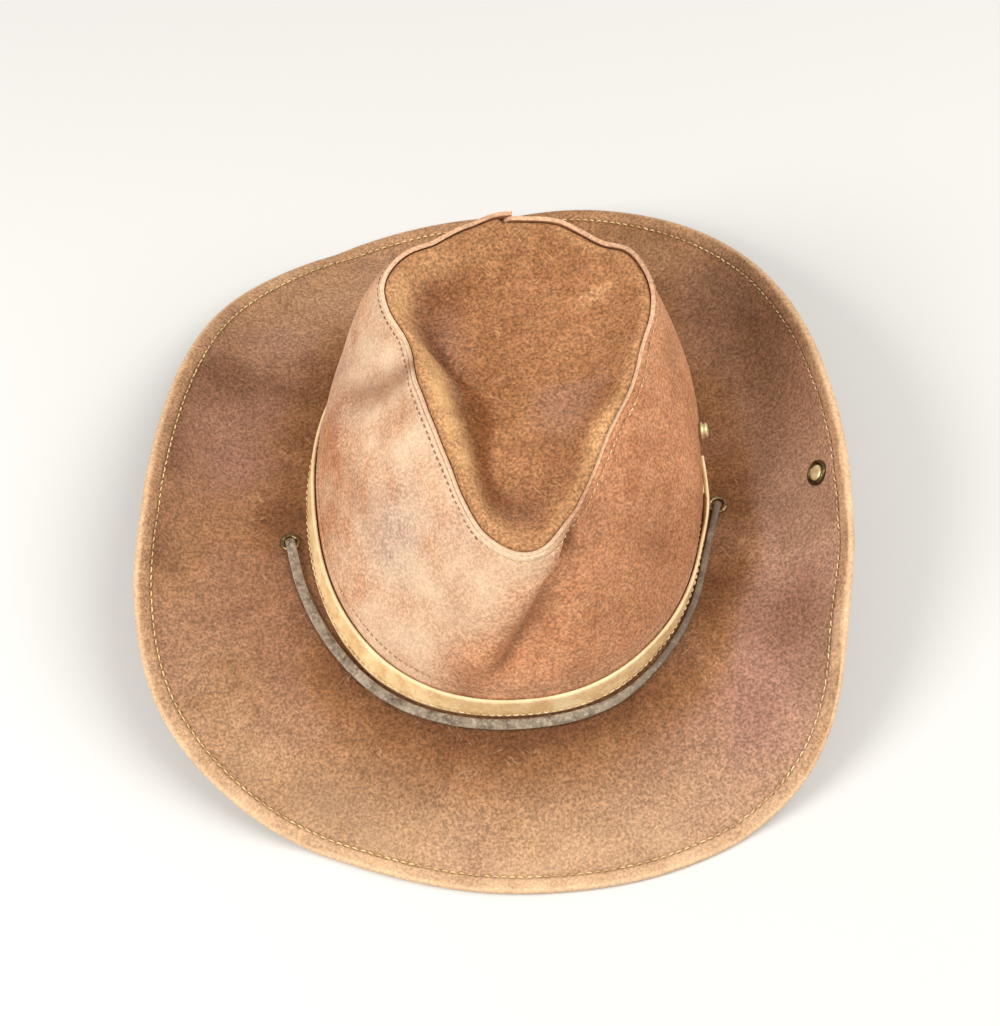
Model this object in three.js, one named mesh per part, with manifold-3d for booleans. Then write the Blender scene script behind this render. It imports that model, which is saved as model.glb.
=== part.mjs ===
// Leather fedora with a creased teardrop crown, a snap-up side brim and a chin lace.
// Millimetres, +Z up, front of the hat toward -Y. Azimuth 0 is the front, 90 is +X.
import * as THREE from 'three';
import Module from 'manifold-3d';
import { LoftGeometry } from 'three/addons/geometries/LoftGeometry.js';
import { mergeVertices } from 'three/addons/utils/BufferGeometryUtils.js';

// Driving sizes
const HALF_WIDTH = 88.5;        // outside of the wall at its foot, half the width
const HALF_LENGTH = 104.5;      // the same from the middle to the front
const FOOT_SQUARENESS = 2.15;   // 2 is an ellipse, more is squarer
const FOOT_HEIGHT = 24;         // height of the crown's foot above the surface
const LEATHER = 2;              // thickness of the crown and brim leather
const GAP = 0.35;               // clearance between pieces that touch on the real hat
const CROWN_X = 7.13;           // middle of the crown from the middle of the whole hat
const CROWN_Y = -2.7;

// The collar that the brim turns up inside the wall, and the hem at its edge
const COLLAR_RISE = 9;
const COLLAR_BEND = 1.6;
const HEM_WIDTH = 8.5;
const HEM_FOLD = 1.7;           // the second layer, folded under
const HEM_ROUND = 1.5;          // rounding of the edge
const HEM_STEP = 0.6;           // the step up from the second layer to the first
const REST_EASE = 1.5;          // how gently the brim flattens where it rests
const WALL_LIFT = 1.45;         // foot of the wall above the middle of the brim's leather
const WALL_LEVEL = 0.12;        // part of the wall's height over which its foot stays upright
const WALL_SLANT = 1.05;        // level thickness of the leaning wall over its real one

// The wall's lap at the back: the outer end covers the inner one
const LAP_OUTER_END = 176;
const LAP_INNER_END = 187;
const LAP_EASE = 13;
const LAP_TRIM = 0.05;          // part of its height that the inner end is cut down under the panel
const TRIM_FROM = 176.6;        // where it is cut down, and where the panel reaches over it
const TRIM_TO = 178.6;
const REACH_TO = 180;

// The top of the crown
const TIP_X = 4;                // centre of the teardrop from the middle of the crown
const TIP_Y = -2;
const TIP_THICKNESS = 1.8;
const TIP_GAP = 0.6;            // its edge inside the wall, clear of the wall's facets
const TIP_FLOOR = 110;          // height of the dish's floor at the centre
const TIP_FLOOR_RISE = 0.08;    // its rise toward the back, per millimetre
const TIP_ROLL_PLACE = 5;       // distance of the rolled margin from the seam

// The band
const BAND_HEIGHT = 12;
const BAND_THICKNESS = 1.8;
const BAND_INNER_END = 87;
const BAND_OUTER_END = 96;
const BAND_EASE = 16;

// Eyelets, snap and lace
const HOLE_RADIUS = 2.7;
const BARREL_RADIUS = 3.3;
const FLANGE_RADIUS = 4.8;
const FLANGE_THICKNESS = 0.8;
const FLANGE_ROUND = 0.5;
const EYELET_PLAY = 0.2;        // the flanges clear the curve of the brim
const LACE_WIDTH = 4.6;
const LACE_THICKNESS = 2.2;
const LACE_EASE = 0.1;          // how loosely it lies
const SOCKET_RADIUS = 6.6;
const SOCKET_LIFT = 0.6;        // its rim clears the hollow of the curled brim
const SOCKET_POST = 2.7;
const STUD_POST = 2.4;
const STUD_RADIUS = 3.7;
const STUD_LIFT = 0.5;          // its base clears the rounded wall

const ROUND_STEPS = 66;
const METAL_SIDES = 16;
const HOLE_SIDES = 12;
const TURN = 360;

function table(columns, ...rows) {
  return rows.map((row) => Object.fromEntries(columns.map((name, i) => [name, row[i]])));
}

// The brim by azimuth: its width along the leather and its slope at the foot and at the edge
const BRIM = table(['deg', 'width', 'start', 'end'],
  [0, 83.5, -16, -24],
  [20, 88.5, -15, -22],
  [40, 90.5, -10, -3],
  [60, 82, -4, 38],
  [75, 83.5, -1, 58],
  [90, 87, 0, 68],
  [105, 86.5, -1, 66],
  [120, 85.5, -4, 54],
  [140, 85, -9, 30],
  [160, 84.5, -13, 6],
  [180, 88, -15, -20],
  [195, 87, -16, -21],
  [210, 85, -12, -10],
  [225, 84.5, -8, 5],
  [240, 81, -4, 24],
  [255, 81, -1, 36],
  [270, 85.5, 0, 42],
  [285, 91, -1, 31],
  [300, 94, -4, 13],
  [315, 90, -8, -3],
  [335, 83, -15, -22],
);

// The top edge of the wall by azimuth round the teardrop's centre: its reach and height
const RIM = table(['deg', 'reach', 'height'],
  [0, 71, 111],
  [15, 65, 112],
  [30, 53, 114],
  [45, 47, 117],
  [60, 44.5, 120],
  [75, 46, 122],
  [90, 51, 123],
  [105, 58.5, 124],
  [112, 64.5, 124.5],
  [119, 73.3, 125],
  [127, 82.5, 125],
  [135, 89.3, 125],
  [142, 92.4, 125.5],
  [149, 89.6, 126],
  [156, 91.4, 126.2],
  [163, 94.2, 126.4],
  [172, 93.4, 126.8],
  [180, 92.6, 127],
  [188, 88.9, 126.7],
  [199, 87.6, 126.3],
  [208, 88.6, 126.1],
  [216, 85.8, 126],
  [223, 79.6, 126],
  [229, 69.3, 125.7],
  [235, 56.4, 125.3],
  [241, 49.7, 125],
  [248, 46.3, 124.5],
  [256, 44, 123.8],
  [270, 39.6, 122],
  [285, 37.6, 120],
  [300, 38.5, 117],
  [315, 42.5, 115],
  [330, 51.5, 113],
  [345, 64.3, 112],
);

// How the wall goes from foot to rim: a straight lean at 1, upright below at more, and its bulge
const WALL = table(['deg', 'upright', 'bulge'],
  [0, 1.75, 0],
  [30, 1.8, 0],
  [60, 2, 2],
  [90, 2.6, 4],
  [120, 3, 7.5],
  [150, 2.6, 6],
  [180, 2.2, 4],
  [210, 2.6, 6],
  [240, 2.2, 2.5],
  [270, 1.5, 0.5],
  [300, 1.6, 0],
  [330, 1.75, 0],
);

// Folds and dents in the wall: azimuth, part of its height, depth inward, and their reach
const FOLDS = table(['deg', 'up', 'inward', 'wide', 'tall'],
  [17, 0.9, 4, 7, 0.13],
  [11, 0.76, 6, 8, 0.13],
  [5, 0.6, 6, 8, 0.13],
  [1, 0.44, 4, 8, 0.13],
  [-9, 0.7, -1.5, 8, 0.2],
  [262, 0.82, 4.5, 9, 0.12],
  [258, 0.64, 3, 9, 0.13],
  [243, 0.78, -1.5, 9, 0.2],
  [308, 0.55, 4.5, 22, 0.25],
  [62, 0.6, 3, 20, 0.25],
);

// The teardrop panel by azimuth: depth of its edge below the wall's, its rolled margin and run
const TIP = table(['deg', 'under', 'roll', 'run'],
  [0, 0.2, 3, 34],
  [30, 1, 1.5, 30],
  [60, 1.5, 1, 30],
  [90, 1.5, 1, 32],
  [120, 1.8, 0.8, 36],
  [180, 1.8, 0.8, 36],
  [210, 1.2, 1.4, 32],
  [240, 0.2, 2.5, 24],
  [270, 0, 3.5, 22],
  [300, 0, 3.5, 24],
  [330, 0, 3.5, 28],
);

// The band by azimuth: how far its lower and its upper edge stand off the wall
const BAND = table(['deg', 'low', 'high'],
  [0, 1.1, 0.4],
  [25, 2, 0.4],
  [45, 0.6, 0.4],
  [75, 0.6, 0.5],
  [90, 1, 0.5],
  [110, 0.6, 0.5],
  [180, 0.5, 0.5],
  [235, 0.8, 0.5],
  [262, 1.8, 0.6],
  [285, 2.6, 0.8],
  [300, 3.6, 0.8],
  [315, 4.4, 0.6],
  [330, 3.2, 0.5],
  [345, 1.6, 0.4],
);

// Where the metal sits: azimuth, and distance along the brim or part of the wall's height
const EYELET_LEFT = { deg: -85, out: 12.3 };
const EYELET_RIGHT = { deg: 87, out: 11 };
const SOCKET = { deg: 87, out: 65.5 };
const STUD = { deg: 94, up: 0.43 };

// The lace round the front of the crown: azimuth and distance of its middle from the wall
const LACE_FRONT = table(['deg', 'out'],
  [-75, 11.3],
  [-67, 10.6],
  [-60, 10],
  [-53, 9.6],
  [-45, 9.3],
  [-37, 8.8],
  [-28, 7.8],
  [-18, 6.5],
  [-7, 5.8],
  [4, 5.8],
  [15, 6.3],
  [25, 6.7],
  [35, 6],
  [44, 5.4],
  [52, 5.3],
  [60, 5.2],
  [67, 5.1],
  [74, 5.6],
  [79, 7],
);

// The lace at an eyelet, over the brim and down under it: steps ahead, heights above the leather
const LACE_OVER = table(['ahead', 'above'],
  [0, -2],
  [0, 2.8],
  [0.9, 4],
  [3, 4.8],
  [6, 4.2],
);
const LACE_UNDER = table(['ahead', 'above'],
  [0, -9],
  [1.2, -15],
);

// Where it comes down: steps ahead, heights above the surface
const LACE_LANDING = table(['ahead', 'height'],
  [5, 3.4],
  [10.5, 1.4],
);

// The hidden stretch, laid on the surface under the back of the brim, from right to left
const LACE_HIDDEN = [
  [102, 22],
  [107, 44],
  [108, 68],
  [103, 94],
  [92, 118],
  [74, 138],
  [50, 151],
  [24, 157],
  [-3, 158],
  [-30, 156],
  [-55, 149],
  [-78, 136],
  [-96, 116],
  [-107, 92],
  [-112, 66],
  [-111, 40],
  [-106, 17],
];

const wasm = await Module();
wasm.setup();

function smooth(from, to, value) {
  const t = Math.min(1, Math.max(0, (value - from) / (to - from)));
  return t * t * (3 - 2 * t);
}

// A table's column at any azimuth, as a smooth curve that closes round the circle
function around(rows, column, deg) {
  const at = (k) => {
    const turns = Math.floor(k / rows.length);
    const row = rows[k - turns * rows.length];
    return [row.deg + TURN * turns, row[column]];
  };
  const angle = ((deg % TURN) + TURN) % TURN;
  let i = rows.length - 1;
  while (rows[i].deg > angle) i -= 1;
  const [x0, y0] = at(i - 1);
  const [x1, y1] = at(i);
  const [x2, y2] = at(i + 1);
  const [x3, y3] = at(i + 2);
  const h = x2 - x1;
  const t = (angle - x1) / h;
  const m1 = (y2 - y0) / (x2 - x0) * h;
  const m2 = (y3 - y1) / (x3 - x1) * h;
  return (2 * t ** 3 - 3 * t ** 2 + 1) * y1 + (t ** 3 - 2 * t ** 2 + t) * m1
    + (3 * t ** 2 - 2 * t ** 3) * y2 + (t ** 3 - t ** 2) * m2;
}

// The foot oval at an azimuth: its point and the level direction out of the crown
function foot(deg) {
  const a = THREE.MathUtils.degToRad(deg);
  const side = Math.sign(Math.sin(a));
  const end = -Math.sign(Math.cos(a));
  const across = Math.abs(Math.sin(a));
  const along = Math.abs(Math.cos(a));
  const power = 2 / FOOT_SQUARENESS;
  const point = new THREE.Vector3(
    HALF_WIDTH * side * across ** power,
    HALF_LENGTH * end * along ** power,
    0,
  );
  const out = new THREE.Vector3(
    side * across ** (2 - power) / HALF_WIDTH,
    end * along ** (2 - power) / HALF_LENGTH,
    0,
  ).normalize();
  return { point, out };
}

// A point that lies outward of the foot oval at a height
function offFoot(deg, out, z) {
  const at = foot(deg);
  return at.point.addScaledVector(at.out, out).setZ(z);
}

// The brim's middle layer: distance out, height and slope after a length along the leather
const PIVOT = -(LEATHER + GAP + LEATHER / 2) + COLLAR_BEND;
const REST_HEIGHT = LEATHER / 2 + HEM_FOLD;
const BRIM_STEPS = 48;

function rested(z) {
  const low = REST_HEIGHT - REST_EASE;
  const high = REST_HEIGHT + REST_EASE;
  if (z > high) return z;
  if (z < low) return REST_HEIGHT;
  return REST_HEIGHT + (z - low) ** 2 / (4 * REST_EASE);
}

function brimMiddle(deg, length) {
  const width = around(BRIM, 'width', deg);
  const start = around(BRIM, 'start', deg);
  const end = around(BRIM, 'end', deg);
  let out = PIVOT;
  let z = FOOT_HEIGHT;
  let before = rested(z);
  let slope = start;
  const step = length / BRIM_STEPS;
  for (let k = 0; k < BRIM_STEPS; k += 1) {
    const part = (k + 0.5) * step / width;
    slope = THREE.MathUtils.degToRad(start + (end - start) * smooth(0, 1, part));
    out += Math.cos(slope) * step;
    z += Math.sin(slope) * step;
    if (k === BRIM_STEPS - 2) before = rested(z);
  }
  const rise = rested(z) - before;
  const lean = length > 0 ? Math.atan2(rise, Math.cos(slope) * step) : THREE.MathUtils.degToRad(start);
  return { out, z: rested(z), lean };
}

// A point above the brim's middle layer, measured square to the leather
function onBrim(deg, length, above) {
  const m = brimMiddle(deg, length);
  return offFoot(deg, m.out - Math.sin(m.lean) * above, m.z + Math.cos(m.lean) * above);
}

function brimUp(deg, length) {
  return onBrim(deg, length, 1).sub(onBrim(deg, length, 0)).normalize();
}

// The wall's outer face
function rim(deg) {
  const a = THREE.MathUtils.degToRad(deg);
  const reach = around(RIM, 'reach', deg);
  return new THREE.Vector3(
    TIP_X + reach * Math.sin(a),
    TIP_Y - reach * Math.cos(a),
    around(RIM, 'height', deg),
  );
}

function foldDepth(deg, up) {
  let depth = 0;
  for (const fold of FOLDS) {
    const away = ((deg - fold.deg + 540) % TURN) - 180;
    depth += fold.inward * Math.exp(-((away / fold.wide) ** 2) - ((up - fold.up) / fold.tall) ** 2);
  }
  return depth * smooth(0, 0.2, up);
}

function wallOuter(deg, up) {
  const at = foot(deg);
  const top = rim(deg);
  const lean = up ** around(WALL, 'upright', deg);
  const bulge = around(WALL, 'bulge', deg) * Math.sin(Math.PI * up ** 0.85) - foldDepth(deg, up);
  const z = THREE.MathUtils.lerp(FOOT_HEIGHT + WALL_LIFT, top.z, up);
  return at.point.lerp(top, lean).addScaledVector(at.out, bulge).setZ(z);
}

function wallOut(deg, up) {
  const low = Math.max(0, up - 0.02);
  const high = Math.min(1, up + 0.02);
  const along = wallOuter(deg + 0.5, up).sub(wallOuter(deg - 0.5, up));
  const rise = wallOuter(deg, high).sub(wallOuter(deg, low));
  const out = along.cross(rise).normalize();
  out.z *= smooth(0, WALL_LEVEL, up);
  return out.normalize();
}

// Distance that the wall steps out where it laps over its own end at the back
function lapStep(deg) {
  const past = ((deg % TURN) + TURN) % TURN - LAP_OUTER_END;
  return (LEATHER + GAP) * (1 - smooth(LAP_EASE, 2 * LAP_EASE, past));
}

// Azimuths for the crown's pieces: even ones, with two more at the lap
function crownStops(from, to) {
  const stops = [TRIM_FROM, TRIM_TO].filter((deg) => deg < to);
  const step = TURN / ROUND_STEPS;
  for (let k = Math.ceil(from / step); k * step < to; k += 1) stops.push(k * step);
  return stops.sort((a, b) => a - b);
}

function wallSection(deg, stepped) {
  const trim = 1 - LAP_TRIM * smooth(TRIM_FROM, TRIM_TO, deg);
  const levels = [0, 0.08, 0.18, 0.3, 0.42, 0.54, 0.66, 0.78, 0.89, 1].map((up) => up * trim);
  const step = stepped ? lapStep(deg) : 0;
  const outer = levels.map((up) => wallOuter(deg, up).addScaledVector(wallOut(deg, up), step));
  const inner = levels.map((up) => wallOuter(deg, up).addScaledVector(wallOut(deg, up), step - LEATHER));
  return [...inner, ...outer.reverse()];
}

function wallGeometry() {
  const start = LAP_OUTER_END - TURN;
  const stops = [start, ...crownStops(start, LAP_INNER_END), LAP_INNER_END];
  const sections = stops.map((deg) => wallSection(deg, deg < -TURN / 4));
  return closed(new LoftGeometry(sections, { capStart: true, capEnd: true }));
}

// The brim: collar, bend, brim and folded hem in one section
function brimSection(deg) {
  const width = around(BRIM, 'width', deg);
  const start = around(BRIM, 'start', deg);
  const spots = [];
  for (const rise of [COLLAR_RISE, COLLAR_RISE * 0.5]) {
    const z = FOOT_HEIGHT + rise;
    const inside = wallReach(deg, z) - LEATHER * WALL_SLANT - GAP - LEATHER / 2;
    spots.push({ out: Math.min(PIVOT - COLLAR_BEND, inside), z, lean: -90 });
  }
  for (const lean of [-90, -50]) {
    const a = THREE.MathUtils.degToRad(lean);
    spots.push({
      out: PIVOT + COLLAR_BEND * Math.sin(a),
      z: FOOT_HEIGHT + COLLAR_BEND * (1 - Math.cos(a)),
      lean,
    });
  }
  for (const part of [0.01, 0.1, 0.25, 0.4, 0.55, 0.7, 0.82]) {
    const m = brimMiddle(deg, part * width);
    spots.push({ out: m.out, z: m.z, lean: THREE.MathUtils.radToDeg(m.lean) });
  }
  const side = (spot, above) => {
    const a = THREE.MathUtils.degToRad(spot.lean);
    return offFoot(deg, spot.out - Math.sin(a) * above, spot.z + Math.cos(a) * above);
  };
  const half = LEATHER / 2;
  const top = spots.map((spot) => side(spot, half));
  const under = spots.map((spot) => side(spot, -half));
  const hem = width - HEM_WIDTH;
  const ends = [
    [hem, half],
    [width - HEM_ROUND, half],
    [width - HEM_ROUND / 4, half / 3],
    [width, -HEM_FOLD / 2],
    [width - HEM_ROUND / 4, -HEM_FOLD - half / 3],
    [width - HEM_ROUND, -HEM_FOLD - half],
    [hem + HEM_STEP, -HEM_FOLD - half],
    [hem, -half],
  ].map(([length, above]) => onBrim(deg, length, above));
  return [...top, ...ends, ...under.reverse()];
}

function ring(sectionAt, steps) {
  const sections = [];
  for (let k = 0; k < steps; k += 1) sections.push(sectionAt(k / steps * TURN));
  sections.push(sections[0].map((point) => point.clone()));
  return closed(new LoftGeometry(sections));
}

// A closed surface keeps its corners once each, with every face turned outward
function closed(geometry) {
  const plain = new THREE.BufferGeometry().copy(geometry);
  plain.deleteAttribute('normal');
  plain.deleteAttribute('uv');
  const merged = mergeVertices(plain, 1e-4);
  const at = merged.attributes.position;
  const corner = (k) => new THREE.Vector3().fromBufferAttribute(at, k);
  const faces = [];
  let volume = 0;
  for (let k = 0; k < merged.index.count; k += 3) {
    const [a, b, c] = merged.index.array.slice(k, k + 3);
    if (a === b || b === c || c === a) continue;
    volume += corner(a).dot(corner(b).cross(corner(c)));
    faces.push([a, b, c]);
  }
  merged.setIndex(faces.flatMap(([a, b, c]) => (volume < 0 ? [b, a, c] : [a, b, c])));
  return merged;
}

function solid(geometry) {
  const body = closed(geometry);
  return new wasm.Manifold(new wasm.Mesh({
    numProp: 3,
    vertProperties: new Float32Array(body.attributes.position.array),
    triVerts: new Uint32Array(body.index.array),
  }));
}

function cut(geometry, ...tools) {
  let body = solid(geometry);
  for (const tool of tools) body = body.subtract(solid(tool));
  const mesh = body.getMesh();
  const result = new THREE.BufferGeometry();
  result.setAttribute('position', new THREE.BufferAttribute(new Float32Array(mesh.vertProperties), 3));
  result.setIndex(new THREE.BufferAttribute(new Uint32Array(mesh.triVerts), 1));
  return result;
}

// Puts a shape that was made round +Z where the metal goes, square to the leather
function seat(geometry, place, up) {
  const turn = new THREE.Quaternion().setFromUnitVectors(new THREE.Vector3(0, 0, 1), up);
  return geometry.applyQuaternion(turn).translate(place.x, place.y, place.z);
}

function lathe(profile, sides) {
  const points = profile.map(([r, z]) => new THREE.Vector2(r, z));
  return new THREE.LatheGeometry(points, sides).rotateX(Math.PI / 2);
}

function drill(radius) {
  return new THREE.CylinderGeometry(radius, radius, LEATHER * 4, HOLE_SIDES).rotateX(Math.PI / 2);
}

// A spool whose two flanges hold the leather between them
function eyeletGeometry() {
  const half = LEATHER / 2 + GAP + EYELET_PLAY;
  const outer = half + FLANGE_THICKNESS;
  return lathe([
    [HOLE_RADIUS, -outer + FLANGE_ROUND / 2],
    [HOLE_RADIUS + FLANGE_ROUND, -outer],
    [FLANGE_RADIUS - FLANGE_ROUND, -outer],
    [FLANGE_RADIUS, -half],
    [BARREL_RADIUS, -half],
    [BARREL_RADIUS, half],
    [FLANGE_RADIUS, half],
    [FLANGE_RADIUS - FLANGE_ROUND, outer],
    [HOLE_RADIUS + FLANGE_ROUND, outer],
    [HOLE_RADIUS, outer - FLANGE_ROUND / 2],
    [HOLE_RADIUS, -outer + FLANGE_ROUND / 2],
  ], METAL_SIDES);
}

// The snap's socket: a rimmed cup above the brim and a low cap under it
function socketGeometry() {
  const half = LEATHER / 2 + GAP;
  const top = half + SOCKET_LIFT;
  return lathe([
    [0, -half - 1.6],
    [SOCKET_RADIUS * 0.6, -half - 1.3],
    [SOCKET_RADIUS, -half],
    [SOCKET_POST, -half],
    [SOCKET_POST, top],
    [SOCKET_RADIUS, top],
    [SOCKET_RADIUS, top + 0.9],
    [SOCKET_RADIUS - 0.8, top + 1.7],
    [SOCKET_RADIUS - 2.2, top + 1.7],
    [SOCKET_RADIUS - 3, top + 0.7],
    [0, top + 0.7],
  ], METAL_SIDES);
}

// The snap's stud: a round knob on a neck outside the wall and a low cap inside it
function studGeometry() {
  const half = LEATHER / 2 + GAP;
  const top = half + STUD_LIFT;
  return lathe([
    [0, -half - 1.8],
    [STUD_RADIUS * 0.7, -half - 1.6],
    [STUD_RADIUS + 0.6, -half - STUD_LIFT],
    [STUD_POST, -half - STUD_LIFT],
    [STUD_POST, top],
    [STUD_RADIUS + 0.3, top],
    [STUD_RADIUS + 0.3, top + 0.7],
    [STUD_RADIUS - 0.8, top + 0.9],
    [STUD_RADIUS - 0.8, top + 1.5],
    [STUD_RADIUS - 0.2, top + 2.3],
    [STUD_RADIUS - 0.8, top + 3.1],
    [0, top + 3.4],
  ], METAL_SIDES);
}

// The teardrop panel: a thin dish whose rings run from the centre to the wall and back
function tipEdge(deg) {
  const rise = wallOuter(deg, 1).sub(wallOuter(deg, 0.96)).normalize();
  const over = lapStep(deg) * smooth(TRIM_TO, REACH_TO, deg);
  return wallOuter(deg, 1)
    .addScaledVector(wallOut(deg, 1), over - LEATHER - TIP_GAP)
    .addScaledVector(rise, -around(TIP, 'under', deg));
}

function tipTop(deg, part) {
  const edge = tipEdge(deg);
  const point = new THREE.Vector3(TIP_X, TIP_Y, edge.z).lerp(edge, part);
  const inward = (1 - part) * Math.hypot(edge.x - TIP_X, edge.y - TIP_Y);
  const floor = TIP_FLOOR + TIP_FLOOR_RISE * (point.y - TIP_Y);
  const near = inward / TIP_ROLL_PLACE;
  const roll = around(TIP, 'roll', deg) * near * Math.exp(1 - near);
  const fall = smooth(0, around(TIP, 'run', deg), inward);
  return point.setZ(THREE.MathUtils.lerp(edge.z, floor, fall) + roll * (1 - fall));
}

function tipGeometry() {
  const parts = [0, 0.25, 0.46, 0.63, 0.76, 0.86, 0.94, 1];
  const sections = [];
  const stops = crownStops(0, TURN);
  const ringAt = (part, drop) => stops.map((deg) => tipTop(deg, part).add(new THREE.Vector3(0, 0, -drop)));
  for (const part of parts) sections.push(ringAt(part, 0));
  for (const part of parts.reverse()) sections.push(ringAt(part, TIP_THICKNESS));
  return closed(new LoftGeometry(sections));
}

// The band: a strip that leans out where its edges stand off the wall
function wallReach(deg, z) {
  const up = (z - FOOT_HEIGHT - WALL_LIFT) / (rim(deg).z - FOOT_HEIGHT - WALL_LIFT);
  const at = foot(deg);
  return wallOuter(deg, Math.max(0, up)).sub(at.point.setZ(0)).dot(at.out);
}

function bandSection(deg, lapped) {
  const step = lapStepBand(deg) + lapped * (BAND_THICKNESS + GAP);
  let low = around(BAND, 'low', deg) + step;
  const under = [low, low + BAND_THICKNESS].map((out) => onBrim(deg, out - PIVOT, LEATHER / 2 + GAP).z);
  const brimTop = Math.max(...under) + 0.1;
  let high = low;
  let z = brimTop;
  let rise = BAND_HEIGHT;
  for (let pass = 0; pass < 3; pass += 1) {
    high = wallReach(deg, z + rise) + around(BAND, 'high', deg) + step;
    rise = Math.sqrt(BAND_HEIGHT ** 2 - (high - low) ** 2);
    z = brimTop + Math.max(0, high - low) / BAND_HEIGHT * BAND_THICKNESS;
  }
  for (const part of [0.25, 0.5, 0.75]) {
    const wall = wallReach(deg, z + rise * part) + GAP + step;
    const short = Math.max(0, wall - THREE.MathUtils.lerp(low, high, part));
    low += short;
    high += short;
  }
  const inner = [offFoot(deg, low, z), offFoot(deg, high, z + rise)];
  const face = offFoot(deg, low + rise, z - (high - low)).sub(inner[0]).setLength(BAND_THICKNESS);
  const outer = inner.map((point) => point.clone().add(face));
  return [inner[0], inner[1], outer[1], outer[0]];
}

// The band rides over the wall's lapped end at the back
function lapStepBand(deg) {
  const angle = ((deg % TURN) + TURN) % TURN;
  const before = smooth(LAP_OUTER_END - LAP_EASE, LAP_OUTER_END - 1, angle);
  const after = 1 - smooth(LAP_OUTER_END + LAP_EASE, LAP_OUTER_END + 2 * LAP_EASE, angle);
  return (LEATHER + GAP) * before * after;
}

function bandGeometry() {
  const sections = [];
  const end = BAND_OUTER_END + TURN;
  const steps = ROUND_STEPS + 2;
  for (let k = 0; k <= steps; k += 1) {
    const deg = THREE.MathUtils.lerp(BAND_INNER_END, end, k / steps);
    const overlap = BAND_INNER_END + TURN;
    sections.push(bandSection(deg, smooth(overlap - BAND_EASE, overlap - 1, deg)));
  }
  return closed(new LoftGeometry(sections, { capStart: true, capEnd: true }));
}

// The lace: stations with a place and the direction of its width, once round the loop
function laceFrontStation(row) {
  const length = row.out - PIVOT;
  const lift = LEATHER / 2 + GAP + LACE_THICKNESS / 2 + LACE_EASE;
  const width = onBrim(row.deg, length + 1, 0).sub(onBrim(row.deg, length - 1, 0)).normalize();
  return { point: onBrim(row.deg, length, lift), width };
}

// Stations at an eyelet, on a level line from it toward the lace's next station
function laceAtEyelet(place, next, spots) {
  const middle = onBrim(place.deg, place.out - PIVOT, 0);
  const ahead = next.point.clone().sub(middle).setZ(0).normalize();
  const width = new THREE.Vector3(ahead.y, -ahead.x, 0);
  if (width.dot(foot(place.deg).out) < 0) width.negate();
  return spots.map((spot) => {
    const z = 'above' in spot ? middle.z + spot.above : spot.height;
    return { point: middle.clone().addScaledVector(ahead, spot.ahead).setZ(z), width };
  });
}

function laceStations() {
  const lay = LACE_THICKNESS / 2 + LACE_EASE;
  const front = LACE_FRONT.map(laceFrontStation);
  const hidden = LACE_HIDDEN.map(([x, y]) => ({
    point: new THREE.Vector3(x, y, lay),
    width: new THREE.Vector3(x, y, 0).normalize(),
  }));
  const under = [...LACE_UNDER, ...LACE_LANDING];
  return [
    ...laceAtEyelet(EYELET_LEFT, front[0], LACE_OVER),
    ...front,
    ...laceAtEyelet(EYELET_RIGHT, front.at(-1), LACE_OVER).reverse(),
    ...laceAtEyelet(EYELET_RIGHT, hidden[0], under),
    ...hidden,
    ...laceAtEyelet(EYELET_LEFT, hidden.at(-1), under).reverse(),
  ];
}

function laceGeometry() {
  const stations = laceStations();
  const route = new THREE.CatmullRomCurve3(stations.map((s) => s.point), true, 'centripetal');
  const sections = [];
  const count = stations.length;
  for (let k = 0; k < count; k += 1) {
    const ahead = route.getTangent(k / count);
    const width = stations[k].width.clone().addScaledVector(ahead, -stations[k].width.dot(ahead)).normalize();
    const up = width.clone().cross(ahead);
    const w = LACE_WIDTH / 2;
    const t = LACE_THICKNESS / 2;
    const corners = [[w, -t / 2], [w, t / 2], [w - t / 2, t], [t / 2 - w, t],
      [-w, t / 2], [-w, -t / 2], [t / 2 - w, -t], [w - t / 2, -t]];
    sections.push(corners.map(([a, b]) => stations[k].point.clone()
      .addScaledVector(width, a).addScaledVector(up, b)));
  }
  sections.push(sections[0].map((point) => point.clone()));
  return closed(new LoftGeometry(sections));
}

// Materials
const suede = new THREE.MeshStandardMaterial({ color: 0x8f6249, roughness: 0.9, metalness: 0 });
const wallSuede = new THREE.MeshStandardMaterial({ color: 0xa87b63, roughness: 0.85, metalness: 0 });
const tipSuede = new THREE.MeshStandardMaterial({ color: 0x8d5c37, roughness: 0.85, metalness: 0 });
const paleLeather = new THREE.MeshStandardMaterial({ color: 0xcfa878, roughness: 0.7, metalness: 0 });
const greyLeather = new THREE.MeshStandardMaterial({ color: 0x57504d, roughness: 0.6, metalness: 0 });
const darkBrass = new THREE.MeshStandardMaterial({ color: 0x8a7a5c, roughness: 0.35, metalness: 1 });
const paleBrass = new THREE.MeshStandardMaterial({ color: 0xcdbb8a, roughness: 0.35, metalness: 1 });

const hat = new THREE.Group();
hat.position.set(CROWN_X, CROWN_Y, 0);

function add(name, geometry, material) {
  const mesh = new THREE.Mesh(geometry, material);
  mesh.name = name;
  hat.add(mesh);
}

function brimPlace(spot) {
  const length = spot.out - PIVOT;
  return { middle: onBrim(spot.deg, length, 0), up: brimUp(spot.deg, length) };
}

const left = brimPlace(EYELET_LEFT);
const right = brimPlace(EYELET_RIGHT);
const socket = brimPlace(SOCKET);
const studUp = wallOut(STUD.deg, STUD.up);
const stud = wallOuter(STUD.deg, STUD.up).addScaledVector(studUp, -LEATHER / 2);

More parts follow.
